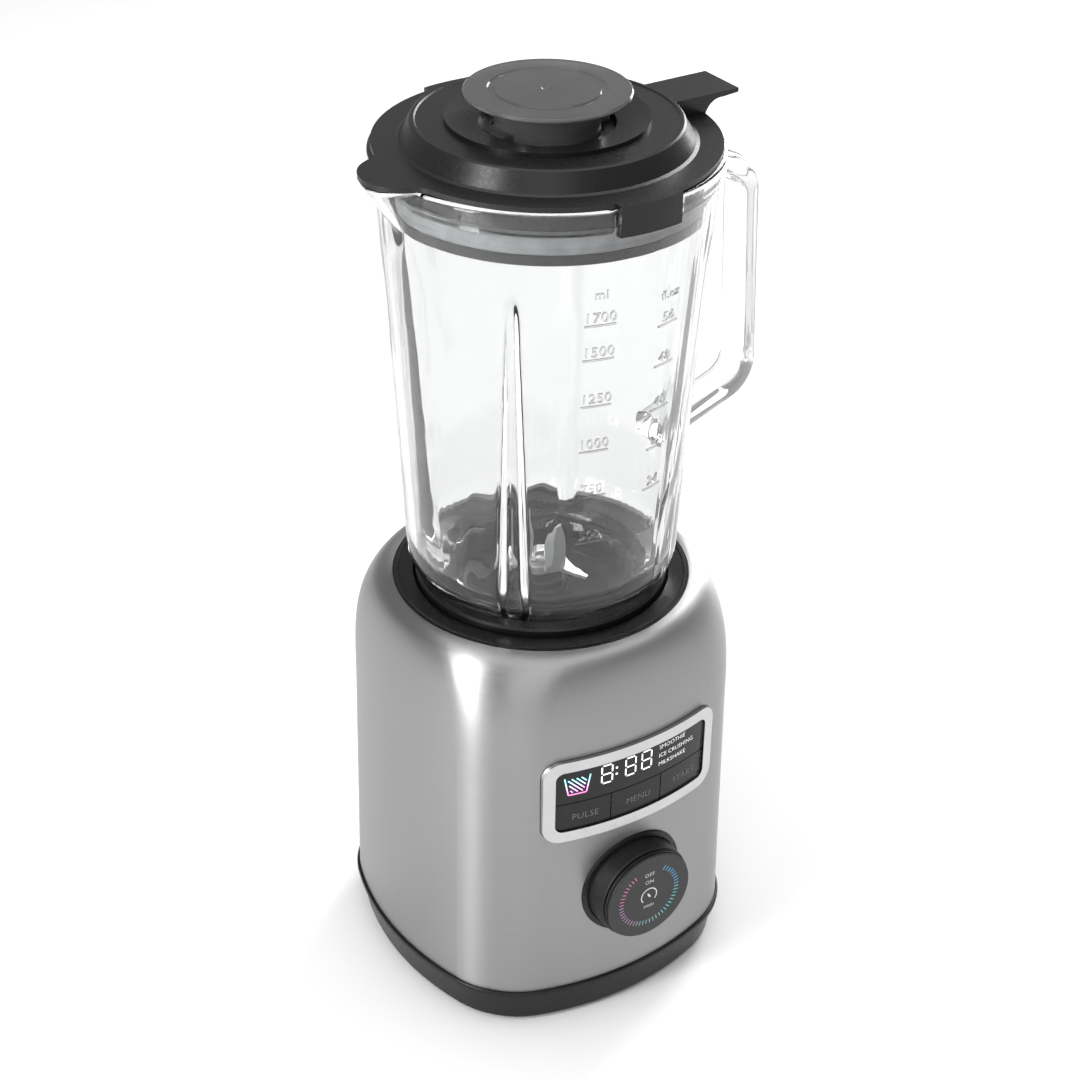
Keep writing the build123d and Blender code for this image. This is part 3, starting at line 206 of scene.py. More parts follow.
def rubber(name, shade, rough=0.75):
    """Matt moulded rubber or silicone."""
    s = Shader(name)
    s.set(Specular_IOR_Level=0.3)
    s.colour(tuple(c * 0.8 for c in shade), tuple(c * 1.15 for c in shade), s.noise(120.0))
    s.roughness(rough - 0.08, rough + 0.08, s.noise(900.0))
    s.bump(s.noise(2200.0, 3.0), 0.00003, 0.4)
    return s.material


def clear_glass(name):
    """Pressed soda glass: faint waves from the mould, no colour in thin sections."""
    s = Shader(name)
    s.set(Transmission_Weight=1.0, IOR=1.48, Roughness=0.0, Base_Color=(0.85, 0.855, 0.855, 1))
    s.bump(s.noise(26.0, 1.5, 0.4), 0.0012, 0.10)
    return s.material


def smoked_plastic(name):
    """Grey-tinted clear plastic of the measuring cup."""
    s = Shader(name)
    s.set(Transmission_Weight=0.6, IOR=1.46)
    s.colour((0.17, 0.17, 0.173), (0.21, 0.21, 0.213), s.noise(40.0))
    s.roughness(0.08, 0.16, s.noise(200.0))
    s.bump(s.noise(60.0, 2.0), 0.0002, 0.05)
    return s.material


def ground_steel(name):
    """Satin blade steel, ground across its length."""
    s = Shader(name)
    s.set(Metallic=0.4)
    s.colour((0.80, 0.80, 0.81), (0.92, 0.92, 0.93), s.noise(220.0, 4.0))
    s.roughness(0.28, 0.4, s.noise(700.0))
    s.bump(s.noise(1.0, 3.0, 0.6, s.stretched((1800, 1800, 260))), 0.00001, 0.4)
    return s.material


def gloss_black(name, shade=0.006, rough=0.1, specular=0.32):
    """Smooth tinted window over a dark display."""
    s = Shader(name)
    s.set(Specular_IOR_Level=specular)
    s.colour((shade, shade, shade * 1.05), (shade * 1.5, shade * 1.5, shade * 1.6), s.noise(30.0))
    s.roughness(rough, rough * 1.5, s.noise(300.0))
    s.bump(s.noise(90.0), 0.00004, 0.05)
    return s.material


def windings(name):
    """Enamelled copper wire, wound in fine parallel turns."""
    s = Shader(name)
    wire = s.node("ShaderNodeTexWave", Scale=420.0, Distortion=0.6, bands_direction="Z")
    s.link(s.place, wire.inputs["Vector"])
    s.set(Metallic=0.8)
    s.colour((0.42, 0.15, 0.05), (0.72, 0.32, 0.14), wire.outputs["Fac"])
    s.roughness(0.3, 0.45, s.noise(500.0))
    s.bump(wire.outputs["Fac"], 0.0003, 0.6)
    return s.material


def laminations(name):
    """A stack of thin electrical-steel sheets."""
    s = Shader(name)
    sheets = s.node("ShaderNodeTexWave", Scale=320.0, Distortion=0.1, bands_direction="Z")
    s.link(s.place, sheets.inputs["Vector"])
    s.set(Metallic=0.9)
    s.colour((0.16, 0.16, 0.17), (0.34, 0.34, 0.35), sheets.outputs["Fac"])
    s.roughness(0.4, 0.55, s.noise(500.0))
    s.bump(sheets.outputs["Fac"], 0.0001, 0.5)
    return s.material


def circuit_board(name):
    """Green board with a faint pattern of tracks."""
    s = Shader(name)
    tracks = s.node("ShaderNodeTexBrick", Scale=60.0, Mortar_Size=0.03)
    s.link(s.place, tracks.inputs["Vector"])
    tracks.inputs["Color1"].default_value = (0.02, 0.12, 0.05, 1)
    tracks.inputs["Color2"].default_value = (0.015, 0.09, 0.04, 1)
    tracks.inputs["Mortar"].default_value = (0.35, 0.30, 0.10, 1)
    s.link(tracks.outputs["Color"], s.bsdf.inputs["Base Color"])
    s.roughness(0.3, 0.45, s.noise(300.0))
    return s.material


def glowing(name, colour, strength):
    """A lit display segment, a little uneven like a diffused LED."""
    s = Shader(name)
    s.set(Emission_Strength=strength)
    dim = tuple(c * 0.86 for c in colour)
    lit = s.ramp(s.noise(700.0), (*dim, 1), (*colour, 1))
    s.link(lit, s.bsdf.inputs["Emission Color"])
    s.link(lit, s.bsdf.inputs["Base Color"])
    s.roughness(0.3, 0.4, s.noise(300.0))
    return s.material


def glow_fade(name, stops, low, high, strength):
    """A lit segment whose colour runs through stops between two heights."""
    s = Shader(name)
    split = s.node("ShaderNodeSeparateXYZ")
    s.link(s.place, split.inputs[0])
    span = s.node("ShaderNodeMapRange")
    s.link(split.outputs["Z"], span.inputs["Value"])
    span.inputs["From Min"].default_value = low
    span.inputs["From Max"].default_value = high
    ramp = s.node("ShaderNodeValToRGB")
    s.link(span.outputs["Result"], ramp.inputs["Fac"])
    while len(ramp.color_ramp.elements) < len(stops):
        ramp.color_ramp.elements.new(0.5)
    for element, (position, colour) in zip(ramp.color_ramp.elements, stops):
        element.position = position
        element.color = (*colour, 1)
    s.link(ramp.outputs["Color"], s.bsdf.inputs["Emission Color"])
    s.link(ramp.outputs["Color"], s.bsdf.inputs["Base Color"])
    s.set(Emission_Strength=strength, Roughness=0.35)
    return s.material


def printed(name, shade):
    """Screen-printed or laser-marked ink."""
    s = Shader(name)
    s.colour(tuple(c * 0.85 for c in shade), shade, s.noise(900.0))
    s.roughness(0.40, 0.53, s.noise(600.0))
    return s.material


def floor_material():
    """Matt white floor."""
    s = Shader("floor_white")
    s.colour((0.90, 0.90, 0.90), (0.93, 0.93, 0.93), s.noise(2.0))
    s.roughness(0.75, 0.85, s.noise(60.0))
    return s.material


# ---------------------------------------------------------------- mesh kit
def new_piece(name, mesh, body, material, smooth=True):
    """Adds a mesh as a piece that rides on a body."""
    piece = bpy.data.objects.new(name, mesh)
    bpy.context.scene.collection.objects.link(piece)
    piece.data.materials.clear()
    piece.data.materials.append(material)
    if smooth:
        piece.data.shade_smooth()
    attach(piece, body)
    return piece


def mesh_from(name, corners, faces):
    """A mesh from its corners and faces."""
    mesh = bpy.data.meshes.new(name)
    mesh.from_pydata([tuple(c) for c in corners], [], faces)
    mesh.update()
    return mesh


BAR_PIECE = 1.2 * MM
trees = {}


def surface_point(node, start, direction):
    """First point of a CAD node's surface along a ray."""
    if node not in trees:
        mesh = nodes[node].data
        corners = [v.co for v in mesh.vertices]
        faces = [tuple(p.vertices) for p in mesh.polygons]
        trees[node] = BVHTree.FromPolygons(corners, faces)
    point = trees[node].ray_cast(start, direction)[0]
    if point is None:
        raise ValueError(f"no surface of {node} along the ray from {tuple(start)}")
    return point


def text_outline(words, height, spacing=1.0, thin=0.0):
    """Corners and faces of flat lettering, centred on its origin, with capitals this high."""
    curve = bpy.data.curves.new("letters", "FONT")
    curve.body = words
    curve.size = height * 1.38
    curve.space_character = spacing
    curve.align_x = "CENTER"
    curve.resolution_u = 3
    curve.offset = -thin * curve.size
    holder = bpy.data.objects.new("letters", curve)
    bpy.context.scene.collection.objects.link(holder)
    bpy.context.view_layer.update()
    mesh = bpy.data.meshes.new_from_object(holder)
    bpy.data.objects.remove(holder)
    corners = [v.co.copy() for v in mesh.vertices]
    faces = [tuple(p.vertices) for p in mesh.polygons]
    bpy.data.meshes.remove(mesh)
    bpy.data.curves.remove(curve)
    return corners, faces


def bar(a, b, width, taper=0.0):
    """Corners and faces of a flat bar from a to b, its ends cut to points by taper.

    It is made of short pieces, so that it can follow a curved surface.
    """
    a, b = Vector((*a, 0)), Vector((*b, 0))
    along = (b - a).normalized()
    side = Vector((-along.y, along.x, 0)) * width / 2
    count = max(1, math.ceil((b - a).length / BAR_PIECE))
    inner = (b - a).length - 2 * taper
    corners, faces = [], []
    for n in range(count + 1):
        middle = a + along * (taper + inner * n / count)
        corners += [middle + side, middle - side]
    for n in range(count):
        faces.append((2 * n, 2 * n + 1, 2 * n + 3, 2 * n + 2))
    if taper:
        last = 2 * count
        corners += [a, b]
        faces += [(last + 2, 1, 0), (last + 3, last, last + 1)]
    return corners, faces


def arc_band(radius, width, start, end, steps=24):
    """A flat arc round the origin, in degrees counterclockwise from +X."""
    corners, faces = [], []
    for n in range(steps + 1):
        turn = math.radians(start + (end - start) * n / steps)
        way = Vector((math.cos(turn), math.sin(turn), 0))
        corners += [way * (radius - width / 2), way * (radius + width / 2)]
    for n in range(steps):
        faces.append((2 * n, 2 * n + 1, 2 * n + 3, 2 * n + 2))
    return corners, faces


def merge(*shapes):
    """Joins flat shapes into one list of corners and faces."""
    corners, faces = [], []
    for shape_corners, shape_faces in shapes:
        base = len(corners)
        corners += shape_corners
        faces += [tuple(i + base for i in face) for face in shape_faces]
    return corners, faces


def shifted(shape, x, y):
    """A flat shape moved in its plane."""
    corners, faces = shape
    return [c + Vector((x, y, 0)) for c in corners], faces


def raised(name, shape, place, thickness, sink=0.00002):
    """A flat shape laid on a surface and given thickness. place(x, y, out) maps it to space."""
    corners, faces = shape
    low = [place(c.x, c.y, -sink) for c in corners]
    high = [place(c.x, c.y, thickness) for c in corners]
    count = len(corners)
    edges = [pair for face in faces for pair in zip(face, face[1:] + face[:1])]
    paired = set(edges)
    walls = [(a, b, b + count, a + count) for a, b in edges if (b, a) not in paired]
    top = [tuple(i + count for i in face) for face in faces]
    bottom = [tuple(reversed(face)) for face in faces]
    mesh = mesh_from(name, low + high, top + bottom + walls)
    work = bmesh.new()
    work.from_mesh(mesh)
    bmesh.ops.remove_doubles(work, verts=work.verts, dist=0.000002)
    bmesh.ops.recalc_face_normals(work, faces=work.faces)
    work.to_mesh(mesh)
    work.free()
    return mesh


# ---------------------------------------------------------------- stage
def set_stage():
    """White floor, even white surroundings and soft lights."""
    size = 6.0
    corners = [(-size, -size, 0), (size, -size, 0), (size, size, 0), (-size, size, 0)]
    floor = bpy.data.objects.new("floor", mesh_from("floor", corners, [(0, 1, 2, 3)]))
    bpy.context.scene.collection.objects.link(floor)
    floor.data.materials.append(floor_material())
    world = bpy.data.worlds.new("studio")
    bpy.context.scene.world = world
    world.use_nodes = True
    background = world.node_tree.nodes["Background"]
    background.inputs["Color"].default_value = (1, 1, 1, 1)
    background.inputs["Strength"].default_value = 0.36
    add_light("left_strip", (-1.6, -0.2, 0.75), (0, 0, 0.2), 0.42, 25, 1.5)
    add_light("right_strip", (1.6, 0.85, 1.0), (0, 0, 0.25), 0.6, 26, 1.8)
    add_light("front_fill", (-0.95, -1.35, 1.0), (0, 0, 0.25), 1.0, 5, 1.4)
    add_light("overhead", (0.1, -0.1, 2.6), (0, 0.1, 0), 3.4, 48)


add_camera()
set_stage()
bpy.context.scene.view_settings.view_transform = "Standard"

# ---------------------------------------------------------------- finishes of the CAD nodes
finishes = {
    "steel_skin": brushed_steel("steel_skin", (25, 25, 5200)),
    "base_plastic": moulded_plastic("base_plastic", (0.005, 0.005, 0.0053), 0.31, specular=0.32),
    "lid_plastic": moulded_plastic("lid_plastic", (0.006, 0.006, 0.0063), 0.31, specular=0.42),
    "black_rubber": rubber("black_rubber", (0.015, 0.015, 0.015)),
    "seal_silicone": rubber("seal_silicone", (0.50, 0.51, 0.52), 0.5),
    "bezel_silver": polished_metal("bezel_silver", (0.56, 0.56, 0.57), 0.22),
    "display_glass": gloss_black("display_glass"),
    "key_black": gloss_black("key_black", 0.007, 0.22, 0.3),
    "knob_black": moulded_plastic(
        "knob_black", (0.008, 0.008, 0.0085), 0.38, texture=4200.0, depth=0.00001, specular=0.3
    ),
    "knob_glass": gloss_black("knob_glass", 0.014, 0.25, 0.4),
    "board_green": circuit_board("board_green"),
    "part_black": moulded_plastic("part_black", (0.03, 0.03, 0.03)),
    "lamination": laminations("lamination"),
    "copper": windings("copper"),
    "cast_alloy": polished_metal("cast_alloy", (0.6, 0.6, 0.61), 0.45),
    "bright_steel": polished_metal("bright_steel", (0.66, 0.66, 0.67), 0.16),
    "brass": polished_metal("brass", (0.72, 0.55, 0.24), 0.25),
    "carbon": rubber("carbon", (0.03, 0.03, 0.03), 0.6),
    "fan_plastic": moulded_plastic("fan_plastic", (0.7, 0.7, 0.67), 0.45),
    "coupling_plastic": moulded_plastic("coupling_plastic", (0.06, 0.06, 0.065), 0.4),
    "jar_clear": clear_glass("jar_clear"),
    "cup_smoke": smoked_plastic("cup_smoke"),
    "blade_steel": ground_steel("blade_steel"),
}

for entry in frame["record"]["subparts"]:
    mesh = nodes[entry["node"]].data
    mesh.materials.clear()
    mesh.materials.append(finishes[entry["material_slot"]])

# ---------------------------------------------------------------- display
window_low, window_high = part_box("display_window")


def on_front(node, x_middle, z_middle):
    """Places flat shapes on the curved front of a node, centred on this point."""
    rows = {}

    def place(x, y, out):
        key = round((x_middle + x) * 1e5)
        if key not in rows:
            start = Vector((x_middle + x, -OUTSIDE, z_middle))
            rows[key] = surface_point(node, start, Vector((0, 1, 0))).y
        return Vector((x_middle + x, rows[key] - out, z_middle + y))

    return place


# Ends of the bars of a figure eight, in shares of its width and height
SEGMENTS = (
    ((0, 1), (1, 1)),
    ((1, 1), (1, 0.5)),
    ((1, 0.5), (1, 0)),
    ((0, 0), (1, 0)),
    ((0, 0.5), (0, 0)),
    ((0, 1), (0, 0.5)),
    ((0, 0.5), (1, 0.5)),
)
DIGIT_WIDTH, DIGIT_HEIGHT, STROKE = 5.2 * MM, 9.6 * MM, 0.72 * MM
SEGMENT_GAP = 0.45 * MM
DIGIT_LEFTS = (-18.5 * MM, -6.4 * MM, 2.3 * MM)
COLON_X, COLON_HEIGHTS, COLON_DOT = -11.1 * MM, (3.2 * MM, 6.6 * MM), 1.0 * MM
DIGIT_Z = window_low.z + 6.5 * MM


def seven_segments(left):
    """The seven bars of a lit figure eight."""
    shapes = []
    for start, end in SEGMENTS:
        a = Vector((left + start[0] * DIGIT_WIDTH, start[1] * DIGIT_HEIGHT))
        b = Vector((left + end[0] * DIGIT_WIDTH, end[1] * DIGIT_HEIGHT))
        gap = (b - a).normalized() * SEGMENT_GAP
        shapes.append(bar(a + gap, b - gap, STROKE, STROKE * 0.45))
    return merge(*shapes)


def square(x, y, size):
    """A flat square centred on a point."""
    half = size / 2
    return bar((x - half, y), (x + half, y), size)


lit_white = glowing("lit_white", (0.95, 0.97, 1.0), 1.1)
lit_words = glowing("lit_words", (0.9, 0.92, 0.95), 0.6)
place = on_front("display_window", 0, DIGIT_Z)
figures = merge(
    *[seven_segments(left) for left in DIGIT_LEFTS],
    *[square(COLON_X, height, COLON_DOT) for height in COLON_HEIGHTS],
)
mesh = raised("figures", figures, place, LIT_FILM)
new_piece("display_figures", mesh, "base", lit_white, False)

PROGRAMMES = ("SMOOTHIE", "ICE CRUSHING", "MILKSHAKE")
NAMES_X, NAMES_Z, LINE_PITCH = 12.1 * MM, window_low.z + 13.6 * MM, 4.6 * MM
for row, words in enumerate(PROGRAMMES):
    corners, faces = text_outline(words, 2.3 * MM, 1.0, 0.012)
    left = min(c.x for c in corners)
    shape = shifted((corners, faces), -left, 0)
    place = on_front("display_window", NAMES_X, NAMES_Z - row * LINE_PITCH)
    mesh = raised("name", shape, place, INK_FILM)
    new_piece(f"programme_name_{row + 1}", mesh, "base", lit_words, False)

BEAKER_X, BEAKER_Z = -30.0 * MM, window_low.z + 4.6 * MM
BEAKER_TOP, BEAKER_FOOT, BEAKER_TALL = 6.0 * MM, 4.2 * MM, 9.4 * MM  # half widths and height
BEAKER_LINE, STRIPE_LINE, STRIPE_PITCH = 0.6 * MM, 0.62 * MM, 2.3 * MM
beaker = [
    bar((-BEAKER_TOP, BEAKER_TALL), (-BEAKER_FOOT, 0), BEAKER_LINE),
    bar((BEAKER_TOP, BEAKER_TALL), (BEAKER_FOOT, 0), BEAKER_LINE),
    bar((-BEAKER_FOOT, 0), (BEAKER_FOOT, 0), BEAKER_LINE),
]


def inside_beaker(x, y):
    """Whether a point is inside the beaker, clear of its outline."""
    half = BEAKER_FOOT + (BEAKER_TOP - BEAKER_FOOT) * y / BEAKER_TALL - 1.3 * MM
    return abs(x) < half and 1.2 * MM < y < BEAKER_TALL - 0.6 * MM


for stripe in range(-3, 5):
    # Slanting lines that show the drink in the beaker, traced in steps of 0.1 mm
    start = stripe * STRIPE_PITCH + 3.6 * MM
    run = [(t * MM / 10, start - t * MM / 10) for t in range(-80, 81)]
    kept = [point for point in run if inside_beaker(*point)]
    if len(kept) > 8:
        beaker.append(bar(kept[0], kept[-1], STRIPE_LINE))
place = on_front("display_window", BEAKER_X, BEAKER_Z)
beaker_glow = glow_fade(
    "beaker_glow",
    (
        (0.0, (1.0, 0.25, 0.6)),
        (0.35, (0.85, 0.5, 0.95)),
        (0.65, (0.5, 0.75, 1.0)),
        (1.0, (0.25, 0.95, 0.95)),
    ),
    BEAKER_Z,
    BEAKER_Z + BEAKER_TALL,
    0.9,
)
mesh = raised("beaker", merge(*beaker), place, LIT_FILM)
new_piece("beaker_sign", mesh, "base", beaker_glow, False)

# Each key's name sits right of the key's middle and a little low, as printed
KEY_NAME_X, KEY_NAME_Z = 1.1 * MM, -2.2 * MM
key_ink = printed("key_ink", (0.16, 0.16, 0.165))
for name in ("pulse", "menu", "start"):
    low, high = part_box(f"button_{name}")
    middle = (low + high) / 2
    shape = text_outline(name.upper(), 3.4 * MM, 1.05, 0.014)
    place = on_front(f"button_{name}", middle.x + KEY_NAME_X, middle.z + KEY_NAME_Z)
    mesh = raised("key", shape, place, INK_FILM)
    new_piece(f"key_name_{name}", mesh, f"{name}_key", key_ink, False)

# ---------------------------------------------------------------- knob face
face_low, face_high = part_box("knob_face")
knob_middle = (face_low + face_high) / 2


def on_knob(x, y, out):
    """Places flat shapes on the knob's face, centred on its middle."""
    return Vector((knob_middle.x + x, face_low.y - out, knob_middle.z + y))


TICKS = 44
TICK_GAP = 62  # degrees left open at the top
TICK_INNER, TICK_OUTER, TICK_WIDTH = 14.1 * MM, 16.5 * MM, 0.36 * MM
TICK_COLOURS = (
    (0.10, 0.28, 0.62),
    (0.08, 0.45, 0.62),
    (0.10, 0.55, 0.45),
    (0.30, 0.30, 0.42),
    (0.50, 0.16, 0.40),
    (0.70, 0.14, 0.30),
)
# The ring is split in groups of ticks, each lit in the mean of two neighbouring colours
GROUPS = len(TICK_COLOURS) - 1
for group in range(GROUPS):
    bars = []
    for n in range(TICKS):
        share = n / (TICKS - 1)
        if min(int(share * GROUPS), GROUPS - 1) != group:
            continue
        turn = math.radians(90 - TICK_GAP / 2 - share * (360 - TICK_GAP))
        way = Vector((math.cos(turn), math.sin(turn)))
        bars.append(bar(way * TICK_INNER, way * TICK_OUTER, TICK_WIDTH))
    shade = tuple((Vector(TICK_COLOURS[group]) + Vector(TICK_COLOURS[group + 1])) / 2)
    new_piece(
        f"speed_ticks_{group + 1}",
        raised("ticks", merge(*bars), on_knob, INK_FILM),
        "knob_push_core",
        glowing(f"tick_glow_{group + 1}", shade, 0.42),
        False,
    )

knob_ink = glowing("knob_ink", (0.62, 0.62, 0.62), 0.25)
signs = merge(
    shifted(text_outline("OFF", 2.2 * MM, 1.05, 0.012), 0, 11.3 * MM),
    shifted(text_outline("ON", 2.2 * MM, 1.05, 0.012), 0, 7.2 * MM),
    shifted(text_outline("SPEED", 1.5 * MM, 1.05, 0.012), 0, -6.6 * MM),
    arc_band(4.2 * MM, 0.55 * MM, -40, 220),
    bar((-0.9 * MM, 1.6 * MM), (0.9 * MM, -1.2 * MM), 0.9 * MM, 0.8 * MM),
)
mesh = raised("signs", signs, on_knob, INK_FILM)
new_piece("knob_signs", mesh, "knob_push_core", knob_ink, False)

# ---------------------------------------------------------------- jar glass
jar_low, jar_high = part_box("jar_glass")
HANDLE_HALF_ANGLE = 15  # degrees each side of +X where the handle hides the wall from outside
RIM_ROUND, NECK_ROUND = 1.8 * MM, 0.8 * MM
HANDLE_HALF_WIDTH, HANDLE_HALF_DEPTH, HANDLE_BEND = 9.4 * MM, 5.0 * MM, 15 * MM
HANDLE_STEPS, HANDLE_SIDES = 110, 48
FLARE, FLARE_LENGTH = 0.25, 8 * MM  # how much the handle widens at its ends, and over what length
ANGLE_STEPS = 640
ROW_STEP = 0.9 * MM


def blurred(rows, up, around):
    """Rows smoothed by a bell curve, this many samples wide along each direction."""
    for axis, width in ((0, up), (1, around)):
        reach = int(3 * width) + 1
        weights = np.exp(-0.5 * (np.arange(-reach, reach + 1) / width) ** 2)
        weights /= weights.sum()
        pad = [(0, 0), (0, 0)]
        pad[axis] = (reach, reach)
        wide = np.pad(rows, pad, mode="edge" if axis == 0 else "wrap")
        rows = sum(
            weight * np.take(wide, range(n, n + rows.shape[axis]), axis=axis)
            for n, weight in enumerate(weights)
        )
    return rows


def wall_radii(heights):
    """Outer and inner radius of the glass wall at each height and angle."""
    outer = np.zeros((len(heights), ANGLE_STEPS))
    inner = np.zeros((len(heights), ANGLE_STEPS))
    for column in range(ANGLE_STEPS):
        angle = 360 * column / ANGLE_STEPS
        outward = Vector((math.cos(math.radians(angle)), math.sin(math.radians(angle)), 0))
        # Where the handle is in the way, the outer wall is taken from beside it
        turn = (angle + 180) % 360 - 180
        if abs(turn) <= HANDLE_HALF_ANGLE:
            angle = math.copysign(HANDLE_HALF_ANGLE, turn)
        clear = Vector((math.cos(math.radians(angle)), math.sin(math.radians(angle)), 0))
        for row, z in enumerate(heights):
            level = Vector((0, 0, z))
            outside = surface_point("jar_glass", level + clear * OUTSIDE, -clear)
            outer[row, column] = (outside - level).length
            inner[row, column] = (surface_point("jar_glass", level, outward) - level).length
    return outer, inner


def tube_mesh(name, rings):
    """A closed mesh through rings of equal length, with a flat cap at each end."""
    count = len(rings[0])
    corners = [Vector(point) for ring in rings for point in ring]
    faces = []
    for n in range(len(rings) - 1):
        for i in range(count):
            j = (i + 1) % count
            low, high = n * count, (n + 1) * count
            faces.append((low + i, low + j, high + j, high + i))
    for start in (0, (len(rings) - 1) * count):
        middle = sum((corners[start + i] for i in range(count)), Vector()) / count
        corners.append(middle)
        faces += [(start + i, start + (i + 1) % count, len(corners) - 1) for i in range(count)]
    mesh = mesh_from(name, corners, faces)
    work = bmesh.new()
    work.from_mesh(mesh)
    bmesh.ops.recalc_face_normals(work, faces=work.faces)
    work.to_mesh(mesh)
    work.free()
    return mesh


def combined(name, first, *steps):
    """A mesh made by adding or taking away closed meshes."""
    holder = bpy.data.objects.new(name, first)
    bpy.context.scene.collection.objects.link(holder)
    tools = []
    for operation, mesh in steps:
        tool = bpy.data.objects.new("tool", mesh)
        bpy.context.scene.collection.objects.link(tool)
        tools.append(tool)
        step = holder.modifiers.new("step", "BOOLEAN")
        step.operation = operation
        step.solver = "MANIFOLD"
        step.object = tool
    graph = bpy.context.evaluated_depsgraph_get()
    mesh = bpy.data.meshes.new_from_object(holder.evaluated_get(graph))
    for item in [holder, *tools]:
        bpy.data.objects.remove(item)
    return mesh


def handle_path():
    """Points along the handle's middle line, which has round corners, in the XZ plane."""
    reach, rim = jar_high.x, jar_high.z
    knots = [
        Vector((reach - 44.3 * MM, 0, rim - 16.0 * MM)),
        Vector((reach - 10.1 * MM, 0, rim - 31.4 * MM)),
        Vector((reach - 5.1 * MM, 0, rim - 133.9 * MM)),
        Vector((reach - 52.6 * MM, 0, rim - 150.9 * MM)),
    ]
    bend = HANDLE_BEND
    points = [knots[0]]
    for before, corner, after in zip(knots, knots[1:], knots[2:]):
        back, ahead = (before - corner).normalized(), (after - corner).normalized()
        half = back.angle(ahead) / 2
        centre = corner + (back + ahead).normalized() * bend / math.sin(half)
        start = corner + back * bend / math.tan(half)
        end = corner + ahead * bend / math.tan(half)
        for n in range(17):
            way = (start - centre).slerp(end - centre, n / 16)
            points.append(centre + way.normalized() * bend)
    points.append(knots[-1])
    return points


def handle_mesh():
    """The handle: a rounded strap that widens a little where it meets the wall."""
    path = handle_path()
    lengths = [0.0]
    for before, after in zip(path, path[1:]):
        lengths.append(lengths[-1] + (after - before).length)
    total = lengths[-1]
    rings = []
    for n in range(HANDLE_STEPS + 1):
        along = total * n / HANDLE_STEPS
        k = next(i for i in range(1, len(lengths)) if lengths[i] >= along - 1e-9)
        share = (along - lengths[k - 1]) / (lengths[k] - lengths[k - 1])
        middle = path[k - 1].lerp(path[k], share)
        low, high = max(k - 2, 0), min(k + 1, len(path) - 1)
        tangent = (path[high] - path[low]).normalized()
        across = Vector((-tangent.z, 0, tangent.x))
        flare = 1 + FLARE * math.exp(-min(along, total - along) / FLARE_LENGTH)
        ring = []
        for i in range(HANDLE_SIDES):
            # A squarish oval: powers below 1 fill out an ellipse's corners
            turn = 2 * math.pi * i / HANDLE_SIDES
            wide = math.copysign(abs(math.cos(turn)) ** 0.62, math.cos(turn)) * HANDLE_HALF_WIDTH
            thick = math.copysign(abs(math.sin(turn)) ** 0.72, math.sin(turn)) * HANDLE_HALF_DEPTH
            ring.append(middle + across * thick * flare + Vector((0, wide * flare, 0)))
        rings.append(ring)
    return tube_mesh("handle", rings)


def ring_at(radii, z):
    """Points of one level of the wall."""
    turns = [2 * math.pi * i / ANGLE_STEPS for i in range(ANGLE_STEPS)]
    return [(r * math.cos(t), r * math.sin(t), z) for r, t in zip(radii, turns)]


def pressed_glass():
    """The jar's glass with every edge rounded as pressed glass has it, handle included."""
    skin_gap = 0.02 * MM  # keeps the rays just inside the glass's top and bottom
    low, high = jar_low.z + skin_gap, jar_high.z - skin_gap
    heights = list(np.arange(low, high - 3 * MM, ROW_STEP))
    heights += [high - 3 * MM + 0.5 * MM * n for n in range(1, 7)]
    outer, inner = wall_radii(heights)
    outer = blurred(outer, 1.0 * MM / ROW_STEP, 1.0)
    inner = blurred(inner, 4.5 * MM / ROW_STEP, 1.6)

    def rounding(z):
        """How far the wall draws back near its rim and near the end of its neck."""
        for edge, size in ((high, RIM_ROUND), (low, NECK_ROUND)):
            depth = size - abs(edge - z)
            if depth > 0:
                return size - math.sqrt(max(size**2 - depth**2, 0))
        return 0.0

    past = 4 * MM
    skin = [ring_at(radii - rounding(z), z) for z, radii in zip(heights, outer)]
    hollow = [ring_at(inner[0] + rounding(low), low - past)]
    hollow += [ring_at(radii + rounding(z), z) for z, radii in zip(heights, inner)]
    hollow.append(ring_at(inner[-1] + rounding(high), high + past))
    glass = combined(
        "jar_glass_solid",
        tube_mesh("skin", skin),
        ("UNION", handle_mesh()),
        ("DIFFERENCE", tube_mesh("hollow", hollow)),
    )
    piece = new_piece("jar_pressed_glass", glass, "jar", finishes["jar_clear"])
    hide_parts("jar_glass")


pressed_glass()

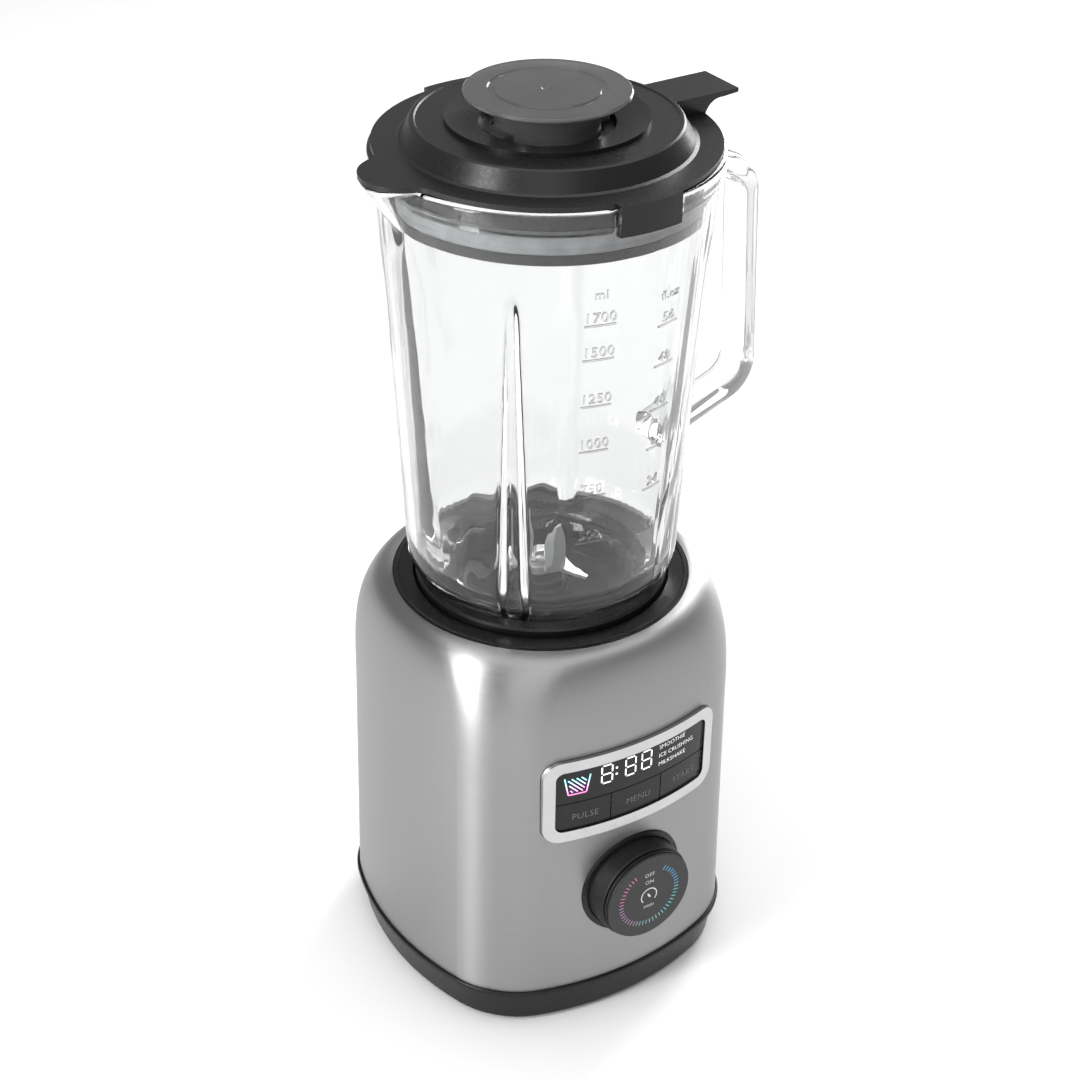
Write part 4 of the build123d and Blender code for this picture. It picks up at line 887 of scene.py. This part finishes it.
# ---------------------------------------------------------------- jar scale
# Height in mm of the line under each number
ML_MARKS = {"500": 250.2, "750": 273.3, "1000": 295.5, "1250": 317.1, "1500": 338.8, "1700": 354.5}
OZ_MARKS = {"16": 246.8, "24": 268.8, "32": 288.7, "40": 307.5, "48": 328.3, "56": 347.0}
RELIEF, SUNK = 0.45 * MM, 0.25 * MM  # how far the marks stand out of the glass and reach into it
WALL_RADIUS = 64.5 * MM  # of the glass at mid height, for the marks' widths
ML_SIDE, OZ_SIDE = -14.7, 13.2  # degrees of each scale from the front
NUMBER_HEIGHT, TITLE_HEIGHT = 4.6 * MM, 4.0 * MM


def on_jar(azimuth, z):
    """Places flat shapes on the outside of the glass. azimuth is in degrees from the front."""
    turn = math.radians(azimuth)
    cache = {}

    def place(x, y, out):
        key = (round(x * 1e5), round(y * 1e5))
        if key not in cache:
            angle = turn + x / WALL_RADIUS
            outward = Vector((math.sin(angle), -math.cos(angle), 0))
            start = outward * OUTSIDE + Vector((0, 0, z + y))
            cache[key] = (surface_point("jar_glass", start, -outward), outward)
        point, outward = cache[key]
        return point + outward * out

    return place


def scale_mark(name, words, azimuth, z, width):
    """One embossed number, standing above its line."""
    shape = merge(
        shifted(text_outline(words, NUMBER_HEIGHT, 1.05), 0, 1.5 * MM),
        bar((-width / 2, 0), (width / 2, 0), 0.7 * MM),
    )
    mesh = raised("mark", shape, on_jar(azimuth, z), RELIEF, SUNK)
    new_piece(name, mesh, "jar", finishes["jar_clear"], False)


for words, z in ML_MARKS.items():
    scale_mark(f"ml_mark_{words}", words, ML_SIDE, z * MM, 12.5 * MM)
for words, z in OZ_MARKS.items():
    scale_mark(f"oz_mark_{words}", words, OZ_SIDE, z * MM, 10.5 * MM)
for name, words, azimuth, z in (
    ("ml_title", "ml", ML_SIDE, 366.5 * MM),
    ("oz_title", "fl.oz", OZ_SIDE, 359.0 * MM),
):
    mesh = raised("title", text_outline(words, TITLE_HEIGHT, 1.05), on_jar(azimuth, z), RELIEF, SUNK)
    new_piece(name, mesh, "jar", finishes["jar_clear"], False)
